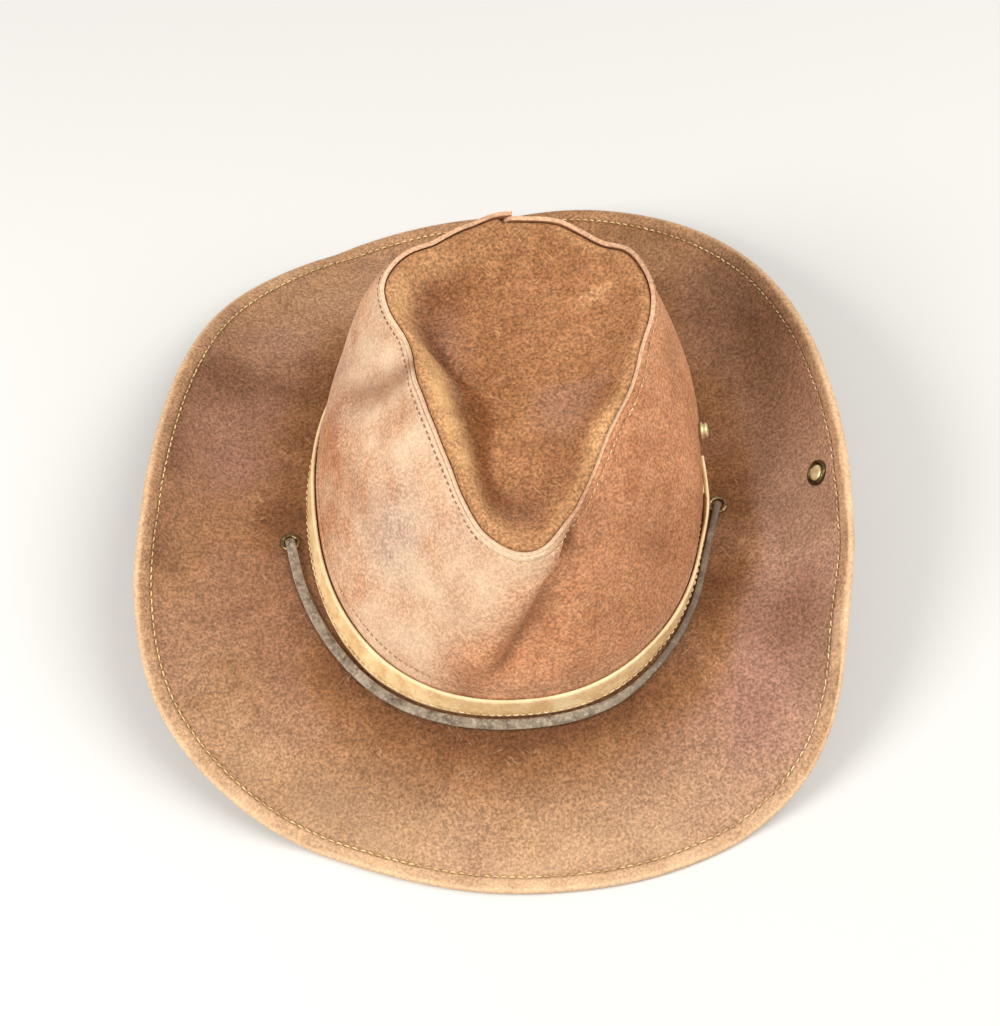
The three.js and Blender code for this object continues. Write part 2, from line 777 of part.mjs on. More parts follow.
add('brim', cut(
  ring(brimSection, ROUND_STEPS),
  seat(drill(BARREL_RADIUS + GAP), left.middle, left.up),
  seat(drill(BARREL_RADIUS + GAP), right.middle, right.up),
  seat(drill(SOCKET_POST + GAP), socket.middle, socket.up),
), suede);
add('crown_side', cut(
  wallGeometry(),
  seat(drill(STUD_POST + GAP), stud, studUp),
), wallSuede);
add('crown_tip', tipGeometry(), tipSuede);
add('hat_band', bandGeometry(), paleLeather);
add('eyelet_left', closed(seat(eyeletGeometry(), left.middle, left.up)), darkBrass);
add('eyelet_right', closed(seat(eyeletGeometry(), right.middle, right.up)), darkBrass);
add('snap_socket', closed(seat(socketGeometry(), socket.middle, socket.up)), darkBrass);
add('snap_stud', closed(seat(studGeometry(), stud, studUp)), paleBrass);
add('chin_lace', laceGeometry(), greyLeather);

export default hat;
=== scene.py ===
import math

import bpy
import numpy as np
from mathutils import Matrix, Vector


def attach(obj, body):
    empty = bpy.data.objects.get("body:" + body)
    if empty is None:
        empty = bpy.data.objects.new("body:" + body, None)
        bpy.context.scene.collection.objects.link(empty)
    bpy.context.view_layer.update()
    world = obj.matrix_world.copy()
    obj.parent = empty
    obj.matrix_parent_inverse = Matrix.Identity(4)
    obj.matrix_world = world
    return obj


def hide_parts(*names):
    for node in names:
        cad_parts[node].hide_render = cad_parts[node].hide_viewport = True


# Looks for the leather fedora. Shapes are worked out in millimetres, with +Z up and the front of
# the hat toward -Y. Azimuth 0 is the front and 90 is +X.
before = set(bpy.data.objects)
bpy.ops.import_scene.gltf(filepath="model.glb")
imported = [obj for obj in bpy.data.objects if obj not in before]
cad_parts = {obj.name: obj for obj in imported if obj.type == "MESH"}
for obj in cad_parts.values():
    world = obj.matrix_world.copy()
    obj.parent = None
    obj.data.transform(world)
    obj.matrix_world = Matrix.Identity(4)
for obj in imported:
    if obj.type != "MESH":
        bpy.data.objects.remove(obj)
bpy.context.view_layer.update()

MM = 0.001
TURN = 360.0

# Driving sizes, the same as the CAD part's
HALF_WIDTH = 88.5
HALF_LENGTH = 104.5
FOOT_SQUARENESS = 2.15
FOOT_HEIGHT = 24.0
LEATHER = 2.0
GAP = 0.35
CROWN_X = 7.13
CROWN_Y = -2.7
COLLAR_RISE = 9.0
COLLAR_BEND = 1.6
HEM_WIDTH = 8.5
HEM_FOLD = 1.7
HEM_ROUND = 1.5
HEM_STEP = 0.6
REST_EASE = 1.5
WALL_LIFT = 1.45
WALL_LEVEL = 0.12
WALL_SLANT = 1.05
LAP_OUTER_END = 176.0
LAP_INNER_END = 187.0
LAP_EASE = 13.0
LAP_TRIM = 0.05
TRIM_FROM = 176.6
TRIM_TO = 178.6
REACH_TO = 180.0
TIP_X = 4.0
TIP_Y = -2.0
TIP_THICKNESS = 1.8
TIP_GAP = 0.6
TIP_FLOOR = 110.0
TIP_FLOOR_RISE = 0.08
TIP_ROLL_PLACE = 5.0
BAND_HEIGHT = 12.0
BAND_THICKNESS = 1.8
BAND_INNER_END = 87.0
BAND_OUTER_END = 96.0
BAND_EASE = 16.0
HOLE_RADIUS = 2.7
BARREL_RADIUS = 3.3
FLANGE_RADIUS = 4.8
FLANGE_THICKNESS = 0.8
EYELET_PLAY = 0.2
LACE_WIDTH = 4.6
LACE_THICKNESS = 2.2
LACE_EASE = 0.1
SOCKET_RADIUS = 6.6
SOCKET_LIFT = 0.6
SOCKET_POST = 2.7
STUD_POST = 2.4
STUD_RADIUS = 3.7
STUD_LIFT = 0.5
PIVOT = -(LEATHER + GAP + LEATHER / 2) + COLLAR_BEND
REST_HEIGHT = LEATHER / 2 + HEM_FOLD
CROWN_CENTRE = np.array([CROWN_X, CROWN_Y, 0])
LEVEL = np.array([1, 1, 0])

# How finely the pieces are made
BRIM_AROUND = 720
WALL_AROUND = 600
TIP_AROUND = 480
BAND_AROUND = 840
LACE_STEPS = 12
LACE_SIDES = 24
BRIM_STEPS = 96
BRIM_TOP_STEPS = 40
BRIM_UNDER_STEPS = 22
ROUND_SIDES = 64
CORNER_ROUNDS = 2

# Rows of points: in from the brim's edge on top and below, up the wall by part, and up the band
HEM_START = 11.4
HEM_ROWS = (10.6, 9.9, 9.3, 8.8, 8.4, 8, 7.7, 7.4, 7.1, 6.8, 6.4, 5.8, 5.1, 4.3, 3.5, 2.8, 2.2, 1.7)
HEM_UNDER_ROWS = (1.8, 3, 5, 7, HEM_WIDTH - HEM_STEP, HEM_WIDTH, HEM_WIDTH + 0.4)
WALL_LEVELS = ((0, 0.86, 46), (0.865, 0.955, 16), (0.96, 1, 18))
BAND_ROWS = (0.05, 0.3, 0.8, 1.6, 2.4, 2.8, 3, 3.2, 3.6, 4.6, 6, 7.5, 9, 10.3, 11.2, 11.7, 11.95)

# The worn leather's ripples: for each, its depth, its size and its seed
BRIM_RIPPLES = ((0.7, 36, 1), (0.3, 13, 2), (0.09, 5, 3))
WALL_RIPPLES = ((0.75, 30, 21), (0.32, 12, 22), (0.09, 4.5, 23))
TIP_RIPPLES = ((0.7, 24, 41), (0.3, 10, 42), (0.09, 4, 43))

# Where the scene departs from the CAD part: the panel's edge comes closer to the wall, and the lace
# is narrower at the right, where it turns on edge
TIP_CLOSER = 0.3
LACE_NARROWS = 0.32

# The soft waves across the right front of the brim: their direction, width and length for a width
WAVE_TURN = math.radians(27)
WAVE_WIDTH = 16
WAVE_STRETCH = 4

# A light scuff on the teardrop panel, at its right near the back
SCUFF = (43.0, 52.0)

# Stitches and seams. The thread's colour changes at an azimuth of the rim and at two of the hem
STITCH_LENGTH = 2.7
STITCH_PITCH = 3.7
THREAD_RADIUS = 0.36
HEM_SEAM = 7.5
RIM_SEAM = 4.2
BAND_SEAM = 2.2
WALL_SEAM_HEIGHT = FOOT_HEIGHT + BAND_HEIGHT + WALL_LIFT + 3.2
EDGE_LINE = 1.1
RIM_THREAD_CHANGE = -18.0
HEM_THREAD_CHANGE = (24.0, 152.0)
LAP_SEAM = 2.2
HEM_LINE_STEP = TURN / (3 * BRIM_AROUND)
STITCH_RINGS = 9
STITCH_SIDES = 8

# Where the wall's cut top edge gets its fibrous rows, as parts of its thickness
RAW_EDGE = (0.12, 0.38, 0.62, 0.88)


def table(columns, *rows):
    return {name: np.array([row[i] for row in rows], float) for i, name in enumerate(columns)}


# The brim by azimuth: its width along the leather and its slope at the foot and at the edge
BRIM = table(
    ("deg", "width", "start", "end"),
    (0, 83.5, -16, -24),
    (20, 88.5, -15, -22),
    (40, 90.5, -10, -3),
    (60, 82, -4, 38),
    (75, 83.5, -1, 58),
    (90, 87, 0, 68),
    (105, 86.5, -1, 66),
    (120, 85.5, -4, 54),
    (140, 85, -9, 30),
    (160, 84.5, -13, 6),
    (180, 88, -15, -20),
    (195, 87, -16, -21),
    (210, 85, -12, -10),
    (225, 84.5, -8, 5),
    (240, 81, -4, 24),
    (255, 81, -1, 36),
    (270, 85.5, 0, 42),
    (285, 91, -1, 31),
    (300, 94, -4, 13),
    (315, 90, -8, -3),
    (335, 83, -15, -22),
)

# The top edge of the wall by azimuth round the teardrop's centre: its reach and height
RIM = table(
    ("deg", "reach", "height"),
    (0, 71, 111), (15, 65, 112), (30, 53, 114), (45, 47, 117), (60, 44.5, 120), (75, 46, 122),
    (90, 51, 123), (105, 58.5, 124), (112, 64.5, 124.5), (119, 73.3, 125), (127, 82.5, 125),
    (135, 89.3, 125), (142, 92.4, 125.5), (149, 89.6, 126), (156, 91.4, 126.2), (163, 94.2, 126.4),
    (172, 93.4, 126.8), (180, 92.6, 127), (188, 88.9, 126.7), (199, 87.6, 126.3), (208, 88.6, 126.1),
    (216, 85.8, 126), (223, 79.6, 126), (229, 69.3, 125.7), (235, 56.4, 125.3), (241, 49.7, 125),
    (248, 46.3, 124.5), (256, 44, 123.8), (270, 39.6, 122), (285, 37.6, 120), (300, 38.5, 117),
    (315, 42.5, 115), (330, 51.5, 113), (345, 64.3, 112),
)

# How the wall goes from foot to rim: a straight lean at 1, upright below at more, and its bulge
WALL = table(
    ("deg", "upright", "bulge"),
    (0, 1.75, 0),
    (30, 1.8, 0),
    (60, 2, 2),
    (90, 2.6, 4),
    (120, 3, 7.5),
    (150, 2.6, 6),
    (180, 2.2, 4),
    (210, 2.6, 6),
    (240, 2.2, 2.5),
    (270, 1.5, 0.5),
    (300, 1.6, 0),
    (330, 1.75, 0),
)

# Folds and dents in the wall: azimuth, part of its height, depth inward, and their reach
FOLDS = table(
    ("deg", "up", "inward", "wide", "tall"),
    (17, 0.9, 4, 7, 0.13),
    (11, 0.76, 6, 8, 0.13),
    (5, 0.6, 6, 8, 0.13),
    (1, 0.44, 4, 8, 0.13),
    (-9, 0.7, -1.5, 8, 0.2),
    (262, 0.82, 4.5, 9, 0.12),
    (258, 0.64, 3, 9, 0.13),
    (243, 0.78, -1.5, 9, 0.2),
    (308, 0.55, 4.5, 22, 0.25),
    (62, 0.6, 3, 20, 0.25),
)

# The sharp crease down the front and the dent at the left: the azimuth of each, by part of the height
CREASE = table(
    ("up", "deg"),
    (0.2, -10), (0.27, -8.6), (0.39, -6.2), (0.51, -2.3), (0.65, 1.8), (0.8, 6.7), (0.87, 12.7), (0.97, 17),
)
DENT = table(
    ("up", "deg"),
    (0.5, -110), (0.58, -107.5), (0.7, -106), (0.83, -106.5), (0.92, -108), (1, -111),
)

# Worn and darker patches, and on the wall's right front a patch of painted shade: azimuth, distance along
# the brim or part of the wall's height, their reach, and how much darker, more mauve and paler they are
BRIM_PATCHES = table(
    ("deg", "at", "wide", "deep", "dark", "rose", "pale"),
    (-119, 60, 16, 20, 0.25, 0, 0),
    (-92, 24, 14, 12, 0.15, 0, 0),
    (-34, 64, 14, 18, 0.1, 0, 0),
    (48, 58, 14, 20, 0, 0.25, -0.22),
    (66, 55, 9, 16, 0.42, 0, -0.1),
    (81, 52, 9, 18, -0.1, 0, 0.15),
    (117, 33, 16, 18, -0.25, -0.1, 0.05),
    (147, 67, 14, 18, 0, 0, 0.14),
)
WALL_PATCHES = table(
    ("deg", "at", "wide", "deep", "dark", "rose", "pale"),
    (-106, 0.42, 14, 0.2, 0.12, 0, -0.42),
    (-52, 0.3, 12, 0.15, 0, 0, 0.15),
    # Painted shade: the wall's right front, turned away from the key light, darkened
    (48, 0.4, 18, 0.25, 0.2, 0, 0),
)

# Where the wall's pale left side, partly the leather's own lighter tone and partly painted light from the
# left, fades into its brown right side, in degrees before the crease
FADE_SHIFT = 7
FADE_SPREAD = 8
FADE_WIDTH = 22

# The teardrop panel by azimuth: depth of its edge below the wall's, its rolled margin and run
TIP = table(
    ("deg", "under", "roll", "run"),
    (0, 0.2, 3, 34),
    (30, 1, 1.5, 30),
    (60, 1.5, 1, 30),
    (90, 1.5, 1, 32),
    (120, 1.8, 0.8, 36),
    (180, 1.8, 0.8, 36),
    (210, 1.2, 1.4, 32),
    (240, 0.2, 2.5, 24),
    (270, 0, 3.5, 22),
    (300, 0, 3.5, 24),
    (330, 0, 3.5, 28),
)

# The band by azimuth: how far its lower and its upper edge stand off the wall
BAND = table(
    ("deg", "low", "high"),
    (0, 1.1, 0.4),
    (25, 2, 0.4),
    (45, 0.6, 0.4),
    (75, 0.6, 0.5),
    (90, 1, 0.5),
    (110, 0.6, 0.5),
    (180, 0.5, 0.5),
    (235, 0.8, 0.5),
    (262, 1.8, 0.6),
    (285, 2.6, 0.8),
    (300, 3.6, 0.8),
    (315, 4.4, 0.6),
    (330, 3.2, 0.5),
    (345, 1.6, 0.4),
)

# Where the metal sits: azimuth, and distance along the brim or part of the wall's height
EYELET_LEFT = {"deg": -85.0, "out": 12.3}
EYELET_RIGHT = {"deg": 87.0, "out": 11.0}
SOCKET = {"deg": 87.0, "out": 65.5}
STUD = {"deg": 94.0, "up": 0.43}

# The lace round the front of the crown: azimuth and distance of its middle from the wall
LACE_FRONT = (
    (-75, 11.3), (-67, 10.6), (-60, 10), (-53, 9.6), (-45, 9.3), (-37, 8.8), (-28, 7.8), (-18, 6.5),
    (-7, 5.8), (4, 5.8), (15, 6.3), (25, 6.7), (35, 6), (44, 5.4), (52, 5.3), (60, 5.2), (67, 5.1),
    (74, 5.6), (79, 7),
)

# The lace at an eyelet: steps ahead and heights above the leather, then above the surface
LACE_OVER = ((0, -2), (0, 2.8), (0.9, 4), (3, 4.8), (6, 4.2))
LACE_UNDER = ((0, -9), (1.2, -15))
LACE_LANDING = ((5, 3.4), (10.5, 1.4))

# The lace's hidden stretch, laid on the surface under the back of the brim, from right to left
LACE_HIDDEN = (
    (102, 22), (107, 44), (108, 68), (103, 94), (92, 118), (74, 138), (50, 151), (24, 157), (-3, 158),
    (-30, 156), (-55, 149), (-78, 136), (-96, 116), (-107, 92), (-112, 66), (-111, 40), (-106, 17),
)


# Curves and noise

def smooth(low, high, value):
    t = np.clip((np.asarray(value, float) - low) / (high - low), 0, 1)
    return t * t * (3 - 2 * t)


def bell(value, middle, width):
    return np.exp(-(((np.asarray(value, float) - middle) / width) ** 2))


def turned(deg, middle):
    """The signed angle from one azimuth to another."""
    return np.mod(np.asarray(deg, float) - middle + TURN / 2, TURN) - TURN / 2


def around(rows, column, deg):
    """A table's column at any azimuth, as a smooth curve that closes round the circle."""
    x = np.concatenate([rows["deg"][-2:] - TURN, rows["deg"], rows["deg"][:2] + TURN])
    y = np.concatenate([rows[column][-2:], rows[column], rows[column][:2]])
    angle = np.mod(np.asarray(deg, float), TURN)
    i = np.clip(np.searchsorted(x, angle, side="right") - 1, 1, len(x) - 3)
    h = x[i + 1] - x[i]
    t = (angle - x[i]) / h
    m1 = (y[i + 1] - y[i - 1]) / (x[i + 1] - x[i - 1]) * h
    m2 = (y[i + 2] - y[i]) / (x[i + 2] - x[i]) * h
    start = (2 * t**3 - 3 * t**2 + 1) * y[i] + (t**3 - 2 * t**2 + t) * m1
    return start + (3 * t**2 - 2 * t**3) * y[i + 1] + (t**3 - t**2) * m2


def noise(points, size, seed):
    """Smooth noise from -1 to 1 with features of a size in millimetres."""
    place = np.asarray(points, float) / size
    cell = np.floor(place).astype(np.int64)
    t = place - cell
    t = t * t * (3 - 2 * t)
    total = np.zeros(place.shape[:-1])
    for corner in range(8):
        step = np.array([corner & 1, corner >> 1 & 1, corner >> 2 & 1])
        key = (cell + step) @ np.array([374761393, 668265263, 974634777]) + seed * 362437
        key = (key ^ (key >> 13)) * 1274126177 & 0xFFFFFFFF
        value = ((key ^ (key >> 16)) & 0xFFFF) / 32767.5 - 1
        total += value * np.prod(np.where(step, t, 1 - t), axis=-1)
    return total


def patches(rows, deg, at, key):
    total = 0
    for k in range(len(rows["deg"])):
        reach = bell(turned(deg, rows["deg"][k]), 0, rows["wide"][k])
        total = total + rows[key][k] * reach * bell(at, rows["at"][k], rows["deep"][k])
    return total


def unit(vectors):
    return vectors / np.linalg.norm(vectors, axis=-1, keepdims=True)


# The hat's main surfaces, as in the CAD part

def foot(deg):
    """The foot oval at an azimuth: its point and the level direction out of the crown."""
    a = np.radians(np.asarray(deg, float))
    side, end = np.sign(np.sin(a)), -np.sign(np.cos(a))
    across, along = np.abs(np.sin(a)), np.abs(np.cos(a))
    power = 2 / FOOT_SQUARENESS
    flat = np.zeros_like(a)
    point = np.stack([HALF_WIDTH * side * across**power, HALF_LENGTH * end * along**power, flat], -1)
    out = np.stack(
        [side * across ** (2 - power) / HALF_WIDTH, end * along ** (2 - power) / HALF_LENGTH, flat], -1
    )
    return point, unit(out)


def off_foot(deg, out, z):
    point, level = foot(deg)
    place = point + level * np.asarray(out, float)[..., None]
    place[..., 2] = z
    return place


def rested(z):
    low, high = REST_HEIGHT - REST_EASE, REST_HEIGHT + REST_EASE
    eased = REST_HEIGHT + (z - low) ** 2 / (4 * REST_EASE)
    height = np.where(z > high, z, np.where(z < low, REST_HEIGHT, eased))
    rise = np.clip((z - low) / (2 * REST_EASE), 0, 1)
    return height, rise


def brim_middle(deg, length):
    """Distance out, height and lean of the brim's middle layer, for one row of lengths an azimuth."""
    deg = np.asarray(deg, float)
    length = np.asarray(length, float)
    width, start, end = (around(BRIM, key, deg)[:, None] for key in ("width", "start", "end"))
    part = (np.arange(BRIM_STEPS) + 0.5) / BRIM_STEPS
    slope = np.radians(start + (end - start) * smooth(0, 1, part))
    step = width / BRIM_STEPS
    zero = np.zeros((len(deg), 1))
    out = PIVOT + np.hstack([zero, np.cumsum(np.cos(slope) * step, 1)])
    z = FOOT_HEIGHT + np.hstack([zero, np.cumsum(np.sin(slope) * step, 1)])
    at = np.clip(length / step, 0, BRIM_STEPS - 1e-6)
    i = at.astype(int)
    t = at - i
    take = np.take_along_axis
    pick = lambda values: take(values, i, 1) * (1 - t) + take(values, i + 1, 1) * t
    here = np.radians(start + (end - start) * smooth(0, 1, length / width))
    height, rise = rested(pick(z))
    return pick(out), height, np.arctan2(rise * np.sin(here), np.cos(here))


def on_brim(deg, length, above):
    """Points above the brim's middle layer, one an azimuth, measured square to the leather."""
    deg = np.atleast_1d(np.asarray(deg, float))
    length = np.broadcast_to(np.asarray(length, float), deg.shape)
    out, z, lean = (v[:, 0] for v in brim_middle(deg, length[:, None]))
    return off_foot(deg, out - np.sin(lean) * above, z + np.cos(lean) * above)


def rim(deg):
    a = np.radians(deg)
    reach = around(RIM, "reach", deg)
    return np.stack([TIP_X + reach * np.sin(a), TIP_Y - reach * np.cos(a), around(RIM, "height", deg)], -1)


def fold_depth(deg, up):
    depth = 0
    for k in range(len(FOLDS["deg"])):
        away = turned(deg, FOLDS["deg"][k])
        tall = bell(up, FOLDS["up"][k], FOLDS["tall"][k])
        depth = depth + FOLDS["inward"][k] * bell(away, 0, FOLDS["wide"][k]) * tall
    return depth * smooth(0, 0.2, up)


def wall_outer(deg, up):
    deg, up = np.broadcast_arrays(np.asarray(deg, float), np.asarray(up, float))
    point, out = foot(deg)
    top = rim(deg)
    lean = (up ** around(WALL, "upright", deg))[..., None]
    bulge = around(WALL, "bulge", deg) * np.sin(np.pi * up**0.85) - fold_depth(deg, up)
    place = point + (top - point) * lean + out * bulge[..., None]
    place[..., 2] = FOOT_HEIGHT + WALL_LIFT + (top[..., 2] - FOOT_HEIGHT - WALL_LIFT) * up
    return place


def wall_out(deg, up):
    deg, up = np.broadcast_arrays(np.asarray(deg, float), np.asarray(up, float))
    along = wall_outer(deg + 0.5, up) - wall_outer(deg - 0.5, up)
    rise = wall_outer(deg, np.minimum(1, up + 0.02)) - wall_outer(deg, np.maximum(0, up - 0.02))
    out = unit(np.cross(along, rise))
    out[..., 2] *= smooth(0, WALL_LEVEL, up)
    return unit(out)


def lap_step(deg):
    """How far the wall steps out where it laps over its own end at the back."""
    past = np.mod(deg, TURN) - LAP_OUTER_END
    return (LEATHER + GAP) * (1 - smooth(LAP_EASE, 2 * LAP_EASE, past))


def wall_reach(deg, z):
    top = rim(deg)[..., 2]
    up = (z - FOOT_HEIGHT - WALL_LIFT) / (top - FOOT_HEIGHT - WALL_LIFT)
    point, out = foot(deg)
    return np.sum((wall_outer(deg, np.maximum(0, up)) - point) * out, -1)


def tip_edge(deg):
    top = wall_outer(deg, 1)
    rise = unit(top - wall_outer(deg, 0.96))
    over = lap_step(deg) * smooth(TRIM_TO, REACH_TO, np.mod(deg, TURN))
    edge = top + wall_out(deg, 1) * (over - LEATHER - TIP_GAP)[..., None]
    return edge - rise * around(TIP, "under", deg)[..., None]


def tip_top(deg, part):
    edge = tip_edge(deg)
    centre = edge.copy()
    centre[..., 0] = TIP_X
    centre[..., 1] = TIP_Y
    point = centre + (edge - centre) * np.asarray(part, float)[..., None]
    inward = (1 - part) * np.hypot(edge[..., 0] - TIP_X, edge[..., 1] - TIP_Y)
    floor = TIP_FLOOR + TIP_FLOOR_RISE * (point[..., 1] - TIP_Y)
    near = inward / TIP_ROLL_PLACE
    roll = around(TIP, "roll", deg) * near * np.exp(1 - near)
    fall = smooth(0, 1, inward / around(TIP, "run", deg))
    point[..., 2] = edge[..., 2] + (floor - edge[..., 2]) * fall + roll * (1 - fall)
    return point


def band_step(deg):
    """The band rides over the wall's lapped end at the back."""
    angle = np.mod(deg, TURN)
    before = smooth(LAP_OUTER_END - LAP_EASE, LAP_OUTER_END - 1, angle)
    after = 1 - smooth(LAP_OUTER_END + LAP_EASE, LAP_OUTER_END + 2 * LAP_EASE, angle)
    return (LEATHER + GAP) * before * after


def band_frame(deg, lapped):
    """The band's inner face at an azimuth: its low and high edges, and the step to its outer face."""
    step = band_step(deg) + lapped * (BAND_THICKNESS + GAP)
    low = around(BAND, "low", deg) + step
    under = [on_brim(deg, out - PIVOT, LEATHER / 2 + GAP)[:, 2] for out in (low, low + BAND_THICKNESS)]
    brim_top = np.maximum(*under) + 0.1
    z, rise, high = brim_top, BAND_HEIGHT, low
    for _ in range(3):
        high = wall_reach(deg, z + rise) + around(BAND, "high", deg) + step
        rise = np.sqrt(BAND_HEIGHT**2 - (high - low) ** 2)
        z = brim_top + np.maximum(0, high - low) / BAND_HEIGHT * BAND_THICKNESS
    for part in (0.25, 0.5, 0.75):
        wall = wall_reach(deg, z + rise * part) + GAP + step
        short = np.maximum(0, wall - (low + (high - low) * part))
        low, high = low + short, high + short
    bottom, top = off_foot(deg, low, z), off_foot(deg, high, z + rise)
    face = unit(off_foot(deg, low + rise, z - (high - low)) - bottom) * BAND_THICKNESS
    return bottom, top, face


# The camera, at the photograph's angle

PHOTO_SIZE = (1000, 1026)
FOCAL_PIXELS = 2115
CAMERA_DISTANCE = 990
CAMERA_ELEVATION = math.radians(60)
CAMERA_YAW = math.radians(4.5)
AIM = Vector((CROWN_X, CROWN_Y, FOOT_HEIGHT))
AIM_PIXEL = (504.5, 508)
SENSOR = 36


def make_camera():
    data = bpy.data.cameras.new("camera")
    camera = bpy.data.objects.new("camera", data)
    bpy.context.scene.collection.objects.link(camera)
    level = math.cos(CAMERA_ELEVATION)
    away = Vector((-math.sin(CAMERA_YAW) * level, -math.cos(CAMERA_YAW) * level, math.sin(CAMERA_ELEVATION)))
    camera.location = (AIM + away * CAMERA_DISTANCE) * MM
    camera.rotation_euler = away.to_track_quat("Z", "Y").to_euler()
    longest = max(PHOTO_SIZE)
    data.sensor_width = SENSOR
    data.lens = FOCAL_PIXELS / longest * SENSOR
    data.shift_x = (PHOTO_SIZE[0] / 2 - AIM_PIXEL[0]) / longest
    data.shift_y = (AIM_PIXEL[1] - PHOTO_SIZE[1] / 2) / longest
    bpy.context.scene.camera = camera


make_camera()


# Meshes

def finish_mesh(name, points, face_sets, material, node=None, zones=None):
    """A piece from points in the crown's frame in millimetres, with its faces turned outward."""
    points = (np.asarray(points, float).reshape(-1, 3) + CROWN_CENTRE) * MM
    volume = 0
    for faces in face_sets:
        for k in range(1, faces.shape[1] - 1):
            first, second, third = (points[faces[:, j]] for j in (0, k, k + 1))
            volume += np.sum(first * np.cross(second, third))
    order = 1 if volume > 0 else -1
    mesh = bpy.data.meshes.new(name)
    corners = [face for faces in face_sets for face in faces[:, ::order].tolist()]
    mesh.from_pydata(points.tolist(), [], corners)
    mesh.shade_smooth()
    for key, values in (zones or {}).items():
        layer = mesh.attributes.new(key, "FLOAT", "POINT")
        layer.data.foreach_set("value", np.asarray(values, np.float32).ravel())
    mesh.materials.append(material)
    piece = bpy.data.objects.new(name, mesh)
    bpy.context.scene.collection.objects.link(piece)
    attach(piece, "root")
    if node:
        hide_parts(node)
    return piece


def grid_faces(rows, columns, wrap_rows, wrap_columns):
    row = np.arange(rows if wrap_rows else rows - 1)[:, None]
    column = np.arange(columns if wrap_columns else columns - 1)[None, :]
    next_row, next_column = (row + 1) % rows, (column + 1) % columns
    corners = [
        row * columns + column,
        row * columns + next_column,
        next_row * columns + next_column,
        next_row * columns + column,
    ]
    return np.stack([c.ravel() for c in np.broadcast_arrays(*corners)], -1)


def strip_faces(points):
    """Faces of a strip whose sections run up one side and down the other, its two ends closed."""
    rows, columns = points.shape[:2]
    caps = []
    for row in (0, rows - 1):
        for k in range(columns // 2 - 1):
            ring = [k, k + 1, columns - 2 - k, columns - 1 - k]
            if row:
                ring.reverse()
            caps.append([row * columns + c for c in ring])
    return [grid_faces(rows, columns, False, True), np.array(caps)]


def lathe(name, profile, place, up, slot, material, node=None):
    """A turned piece from a closed or axis-to-axis profile of radius and height, its corners rounded."""
    profile = np.array(profile, float)
    on_axis = profile[0][0] == 0
    for _ in range(CORNER_ROUNDS):
        nearby = profile[1:] if on_axis else np.roll(profile, -1, 0)
        here = profile[:-1] if on_axis else profile
        cut = np.stack([here * 0.8 + nearby * 0.2, here * 0.2 + nearby * 0.8], 1).reshape(-1, 2)
        profile = np.vstack([profile[:1], cut, profile[-1:]]) if on_axis else cut
    angle = np.arange(ROUND_SIDES) / ROUND_SIDES * 2 * np.pi
    turn = np.array(Vector(up).to_track_quat("Z", "Y").to_matrix())
    rings = profile[1:-1] if on_axis else profile
    radius, height = rings[:, 0, None], rings[:, 1, None]
    ring = np.stack(np.broadcast_arrays(radius * np.cos(angle), radius * np.sin(angle), height), -1)
    points = ring.reshape(-1, 3)
    face_sets = [grid_faces(len(rings), ROUND_SIDES, not on_axis, True)]
    if on_axis:
        low = len(points)
        points = np.vstack([points, [[0, 0, profile[0][1]], [0, 0, profile[-1][1]]]])
        face_sets += fans(ROUND_SIDES, 0, (len(rings) - 1) * ROUND_SIDES, 1, low)
    finish_mesh(name, points @ turn.T + place, face_sets, material, node)


def fans(count, first, last, stride, hub):
    """Triangles that close two rings of points round their hubs."""
    k = np.arange(count)
    here, after = k * stride, (k + 1) % count * stride
    return [
        np.stack([np.full(count, hub), first + after, first + here], -1),
        np.stack([np.full(count, hub + 1), last + here, last + after], -1),
    ]


def along(line):
    """The length along a line of points."""
    return np.concatenate([[0], np.cumsum(np.linalg.norm(np.diff(line, axis=0), axis=1))])


def sew(name, line, normals, slot, material, seed, length=STITCH_LENGTH, pitch=STITCH_PITCH,
        radius=THREAD_RADIUS, proud=0.25):
    """Stitches along a line of points on leather, each an arch of thread whose ends dive in."""
    rng = np.random.default_rng(seed)
    at = along(line)
    count = int(at[-1] / pitch)
    starts = (np.arange(count) + 0.5) / count * at[-1] - length / 2 + rng.normal(0, 0.12, count)
    part = np.linspace(0, 1, STITCH_RINGS)
    where = starts[:, None] + part * length * (1 + rng.normal(0, 0.04, count))[:, None]
    where = np.clip(where, 0, at[-1])
    pick = lambda values: np.stack([np.interp(where, at, values[:, k]) for k in range(3)], -1)
    place, up = pick(line), unit(pick(normals))
    ahead = unit(np.gradient(place, axis=1))
    side = unit(np.cross(up, ahead))
    sway = rng.normal(0, 0.12, count)[:, None, None] * (part - 0.5)[None, :, None] * 2
    arch = proud + radius * 0.9 - (radius * 2.2 + proud) * np.abs(2 * part - 1) ** 4
    place = place + up * arch[None, :, None] + side * sway
    thick = radius * (0.62 + 0.38 * np.sqrt(np.maximum(0, 1 - np.abs(2 * part - 1) ** 3)))
    angle = np.arange(STITCH_SIDES) / STITCH_SIDES * 2 * np.pi
    ring = side[:, :, None] * np.cos(angle)[:, None] + up[:, :, None] * np.sin(angle)[:, None] * 0.85
    points = place[:, :, None] + ring * thick[None, :, None, None]
    ends = []
    for row, order in ((0, -1), (STITCH_RINGS - 1, 1)):
        for k in range(STITCH_SIDES // 2 - 1):
            quad = [row * STITCH_SIDES + c % STITCH_SIDES for c in (k, k + 1, -k - 2, -k - 1)]
            ends.append(quad[::order])
    faces = np.vstack([grid_faces(STITCH_RINGS, STITCH_SIDES, False, True), ends])
    shift = (np.arange(count) * STITCH_RINGS * STITCH_SIDES)[:, None, None]
    finish_mesh(name, points, [(faces[None] + shift).reshape(-1, 4)], material)


# Materials

